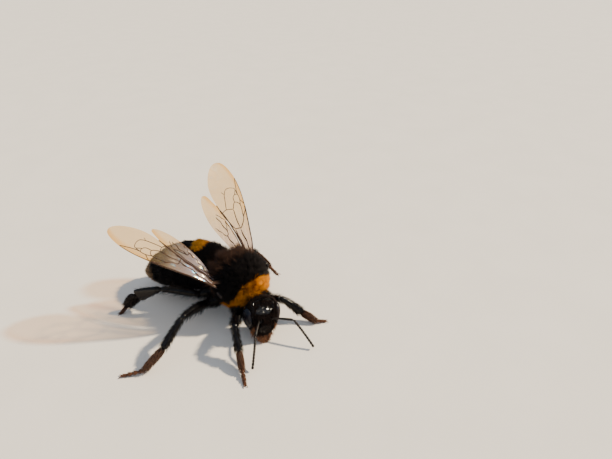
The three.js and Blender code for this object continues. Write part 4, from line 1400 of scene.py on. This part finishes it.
class WingSettings(bpy.types.PropertyGroup):
    membrane: size("Membrane", "Thickness of the wing's skin", 0.02)
    grain: size("Membrane grain", "Size of the faces of the wing's skin", 0.12)
    vein: amount("Vein", "Thickness of the veins, as a share of the usual", 1.2)
    tint: tint("Wing tint", "Colour of the wing's skin", (0.97, 0.76, 0.46))
    alpha: share("Wing cover", "How much of the view each face of the skin hides", 0.06)
    film: amount("Film", "Thickness of the shining film, in nanometres", 290)
    veins: tint("Veins", "Colour of the veins", (0.030, 0.012, 0.005))


class CoatSettings(bpy.types.PropertyGroup):
    hair: size("Hair", "Radius of a body hair at its foot", 0.022)
    bristle: size("Bristle", "Radius of a bristle at its foot", 0.022)
    lock: size("Lock", "Breadth of a lock of body hair", 0.42)
    face_lock: size("Face lock", "Breadth of a lock of hair on the face", 0.35)
    lock_pull: share("Lock pull", "How far hair tips lean into their lock", 0.55)
    lock_tilt: share("Lock tilt", "How much whole locks lean their own way", 0.3)
    thorax_length: size("Thorax coat", "Length of the hairs on the thorax", 1.25)
    fringe_length: size("Fringe", "Length of the longest hairs at the rear of the thorax", 2.2)
    collar_length: size("Collar coat", "Length of the hairs of the collar", 1.15)
    face_length: size("Face coat", "Length of the hairs on the face", 0.62)
    thorax_hairs: count("Thorax hairs", "Hairs on each half of the thorax", 19000)
    fringe_hairs: count("Fringe hairs", "Long hairs at the rear of the thorax", 3200)
    collar_hairs: count("Collar hairs", "Hairs in the collar", 16000)
    head_hairs: count("Head hairs", "Hairs on the head", 12000)
    beard_hairs: count("Beard hairs", "Hairs round the mouth", 2500)
    leg_hairs: count("Leg hairs", "Bristles on each leg", 1400)
    foot_hairs: count("Foot hairs", "Fine hairs on each foot", 1000)
    fullness: amount("Abdomen coat", "How full the abdomen's coat is", 1.0)


class StageSettings(bpy.types.PropertyGroup):
    floor: tint("Floor", "Colour of the floor", (0.85, 0.76, 0.67))
    floor_size: amount("Floor size", "Side of the floor", 3.0, unit="LENGTH")
    key: amount("Key light", "Strength of the key light", 7.5)
    fill: amount("Fill light", "Strength of the light from all round", 0.72)


def settings(part):
    return getattr(bpy.context.scene, f"bumblebee_{part}")


# ---------------------------------------------------------------- operators

class BEE_OT_body_skin(bpy.types.Operator):
    """Thorax, waist and abdomen as one skin"""
    bl_idname = "bumblebee.body_skin"
    bl_label = "Body skin"

    def execute(self, context):
        build_body_skin(settings("body"), skin_finish())
        return {"FINISHED"}


class BEE_OT_head(bpy.types.Operator):
    """Head skin, eyes, jaws and antennae"""
    bl_idname = "bumblebee.head"
    bl_label = "Head"

    def execute(self, context):
        head = settings("head")
        black = shell_finish("head shell", (0.005, 0.004, 0.005), (0.010, 0.008, 0.008), 0.1, 0.5)
        eye, jaw = eye_finish(), shell_finish("jaw", (0.03, 0.012, 0.008), (0.16, 0.055, 0.022))
        antenna = shell_finish("antenna", (0.008, 0.006, 0.005), (0.020, 0.012, 0.009), 0.34)
        build_head_skin(head, black)
        build_ocelli(head, eye)
        for name, side in SIDES.items():
            build_eye(name, side, eye)
            build_mandible(name, side, jaw)
            build_antenna(name, ANTENNAE[name], head, antenna)
        return {"FINISHED"}


class BEE_OT_legs(bpy.types.Operator):
    """Six jointed legs with their claws"""
    bl_idname = "bumblebee.legs"
    bl_label = "Legs"

    def execute(self, context):
        shell = leg_finish()
        for name, joints in LEGS.items():
            build_leg(name, joints, settings("legs"), shell)
        return {"FINISHED"}


class BEE_OT_wings(bpy.types.Operator):
    """Both pairs of wings: membranes, veins, hinges and shoulder scales"""
    bl_idname = "bumblebee.wings"
    bl_label = "Wings"

    def execute(self, context):
        wings = settings("wings")
        membrane = membrane_finish(tuple(wings.tint), wings.alpha, wings.film)
        vein = shell_finish("vein", tuple(wings.veins), shade(wings.veins, 1.8), 0.35)
        hinge = shell_finish("hinge plates", (0.05, 0.022, 0.012), (0.16, 0.085, 0.045), 0.18)
        scale = shell_finish("shoulder scale", (0.004, 0.003, 0.004), (0.016, 0.009, 0.007), 0.3)
        plans = {"forewing": (FOREWING, FOREWING_VEINS), "hindwing": (HINDWING, HINDWING_VEINS)}
        for name, side in SIDES.items():
            pose = WING_POSES[name]
            for wing, (table, _) in plans.items():
                build_membrane(f"membrane_{wing}_{name}", pose, table, wings, membrane, (f"{wing}_{name}",))
            for wing, (table, veins) in plans.items():
                build_veins(f"veins_{wing}_{name}", pose, table, veins, wings, vein)
            build_hinge(f"hinge_{name}", pose, hinge)
            build_tegula(name, side, scale)
        return {"FINISHED"}


def coat_look(name, tones, coat):
    """A kind of hair: its material, and what its piece of coat gives to the coat's nodes."""
    fine, on_leg = name in FINE_COATS, name in LEG_COATS
    lock = 0 if on_leg else 1 / mm(coat.face_lock if fine else coat.lock) / LOCK_BREADTHS.get(name, 1)
    gloss = HAIR_GLOSS if name in GLOSSY_COATS else DULL_GLOSS
    return {
        "Material": hair_finish(f"{name.replace('_', ' ')} hair", *tones, gloss),
        "Hair radius": mm(coat.bristle if fine else coat.hair) * HAIR_THICKNESS.get(name, 1),
        "Shortest hair": SHORTEST_BRISTLE if on_leg else SHORTEST_HAIR,
        "Spread": STRAY,
        "Locks per mm": lock,
        "Lock pull": 0 if on_leg else coat.lock_pull * (GATHER if name in GATHERED_COATS else 1),
        "Lock tilt": 0 if on_leg else coat.lock_tilt,
    }


class BEE_OT_coat(bpy.types.Operator):
    """The hairs of the body, the head and the legs"""
    bl_idname = "bumblebee.coat"
    bl_label = "Coat"

    def execute(self, context):
        coat, body = settings("coat"), settings("body")
        tones = dict(DARK_TONES)
        for name, tip in (("collar", body.collar), ("band", body.band), ("tail", body.tail)):
            tones[name] = (shade(tip, PAINTED_ROOT_SHADE[name]), tuple(tip))
        looks = {name: coat_look(name, pair, coat) for name, pair in tones.items()}
        ground = body_ground(bpy.data.objects["body_skin"])
        grow_thorax_coat(ground, coat, looks)
        grow_abdomen_coat(ground, coat, looks)
        grow_head_coat(bpy.data.objects["head_skin"], coat, looks)
        for seed, (name, joints) in enumerate(LEGS.items(), FIRST_LEG_SEED):
            grow_leg_coat(name, bpy.data.objects[f"leg_{name}"], joints, coat, looks, seed)
        bpy.data.objects.remove(bpy.data.objects["hair"])
        return {"FINISHED"}


class BEE_OT_stage(bpy.types.Operator):
    """Pale floor, key light, fill light and camera"""
    bl_idname = "bumblebee.stage"
    bl_label = "Stage"

    def execute(self, context):
        stage, scene = settings("stage"), context.scene
        half = stage.floor_size / 2
        corners = ((-half, -half, 0), (half, -half, 0), (half, half, 0), (-half, half, 0))
        floor = link("floor", raw_mesh("floor", corners, [(0, 1, 2, 3)]))
        floor.data.materials.append(floor_finish(tuple(stage.floor)))
        key = bpy.data.lights.new("key", "SUN")
        key.energy, key.angle, key.color = stage.key, math.radians(KEY_SPREAD), KEY_COLOUR
        link("key", key).rotation_euler = Vector(KEY_FROM).to_track_quat("Z", "Y").to_euler()
        scene.world = bpy.data.worlds.new("studio")
        scene.world.use_nodes = True
        background = scene.world.node_tree.nodes["Background"].inputs
        background["Color"].default_value = FILL_COLOUR
        background["Strength"].default_value = stage.fill
        camera = bpy.data.cameras.new("camera")
        camera.lens, camera.sensor_width = CAMERA_LENS, SENSOR
        camera.clip_start, camera.clip_end = 0.001, 10
        scene.camera = link("camera", camera)
        scene.camera.location = CAMERA_PLACE
        scene.camera.rotation_euler = [math.radians(angle) for angle in CAMERA_TURN]
        return {"FINISHED"}


OPERATORS = (BEE_OT_stage, BEE_OT_body_skin, BEE_OT_head, BEE_OT_legs, BEE_OT_wings, BEE_OT_coat)
SETTINGS = {"body": BodySettings, "head": HeadSettings, "legs": LegSettings, "wings": WingSettings,
            "coat": CoatSettings, "stage": StageSettings}


class BEE_PT_panel(bpy.types.Panel):
    """Sizes, colours and pieces of the bumblebee"""
    bl_idname = "BEE_PT_panel"
    bl_label = "Bumblebee"
    bl_space_type = "VIEW_3D"
    bl_region_type = "UI"
    bl_category = "Bumblebee"

    def draw(self, context):
        for part in SETTINGS:
            box = self.layout.box()
            box.label(text=part.capitalize())
            for name in settings(part).__annotations__:
                box.prop(settings(part), name)
        for operator in OPERATORS:
            self.layout.operator(operator.bl_idname)


CLASSES = (*SETTINGS.values(), *OPERATORS, BEE_PT_panel)


def register():
    for item in CLASSES:
        bpy.utils.register_class(item)
    for part, group in SETTINGS.items():
        setattr(bpy.types.Scene, f"bumblebee_{part}", PointerProperty(type=group))


def unregister():
    for part in SETTINGS:
        delattr(bpy.types.Scene, f"bumblebee_{part}")
    for item in reversed(CLASSES):
        bpy.utils.unregister_class(item)


def main():
    register()
    for operator in OPERATORS:
        group, name = operator.bl_idname.split(".")
        getattr(getattr(bpy.ops, group), name)()


if __name__ == "__main__":
    main()
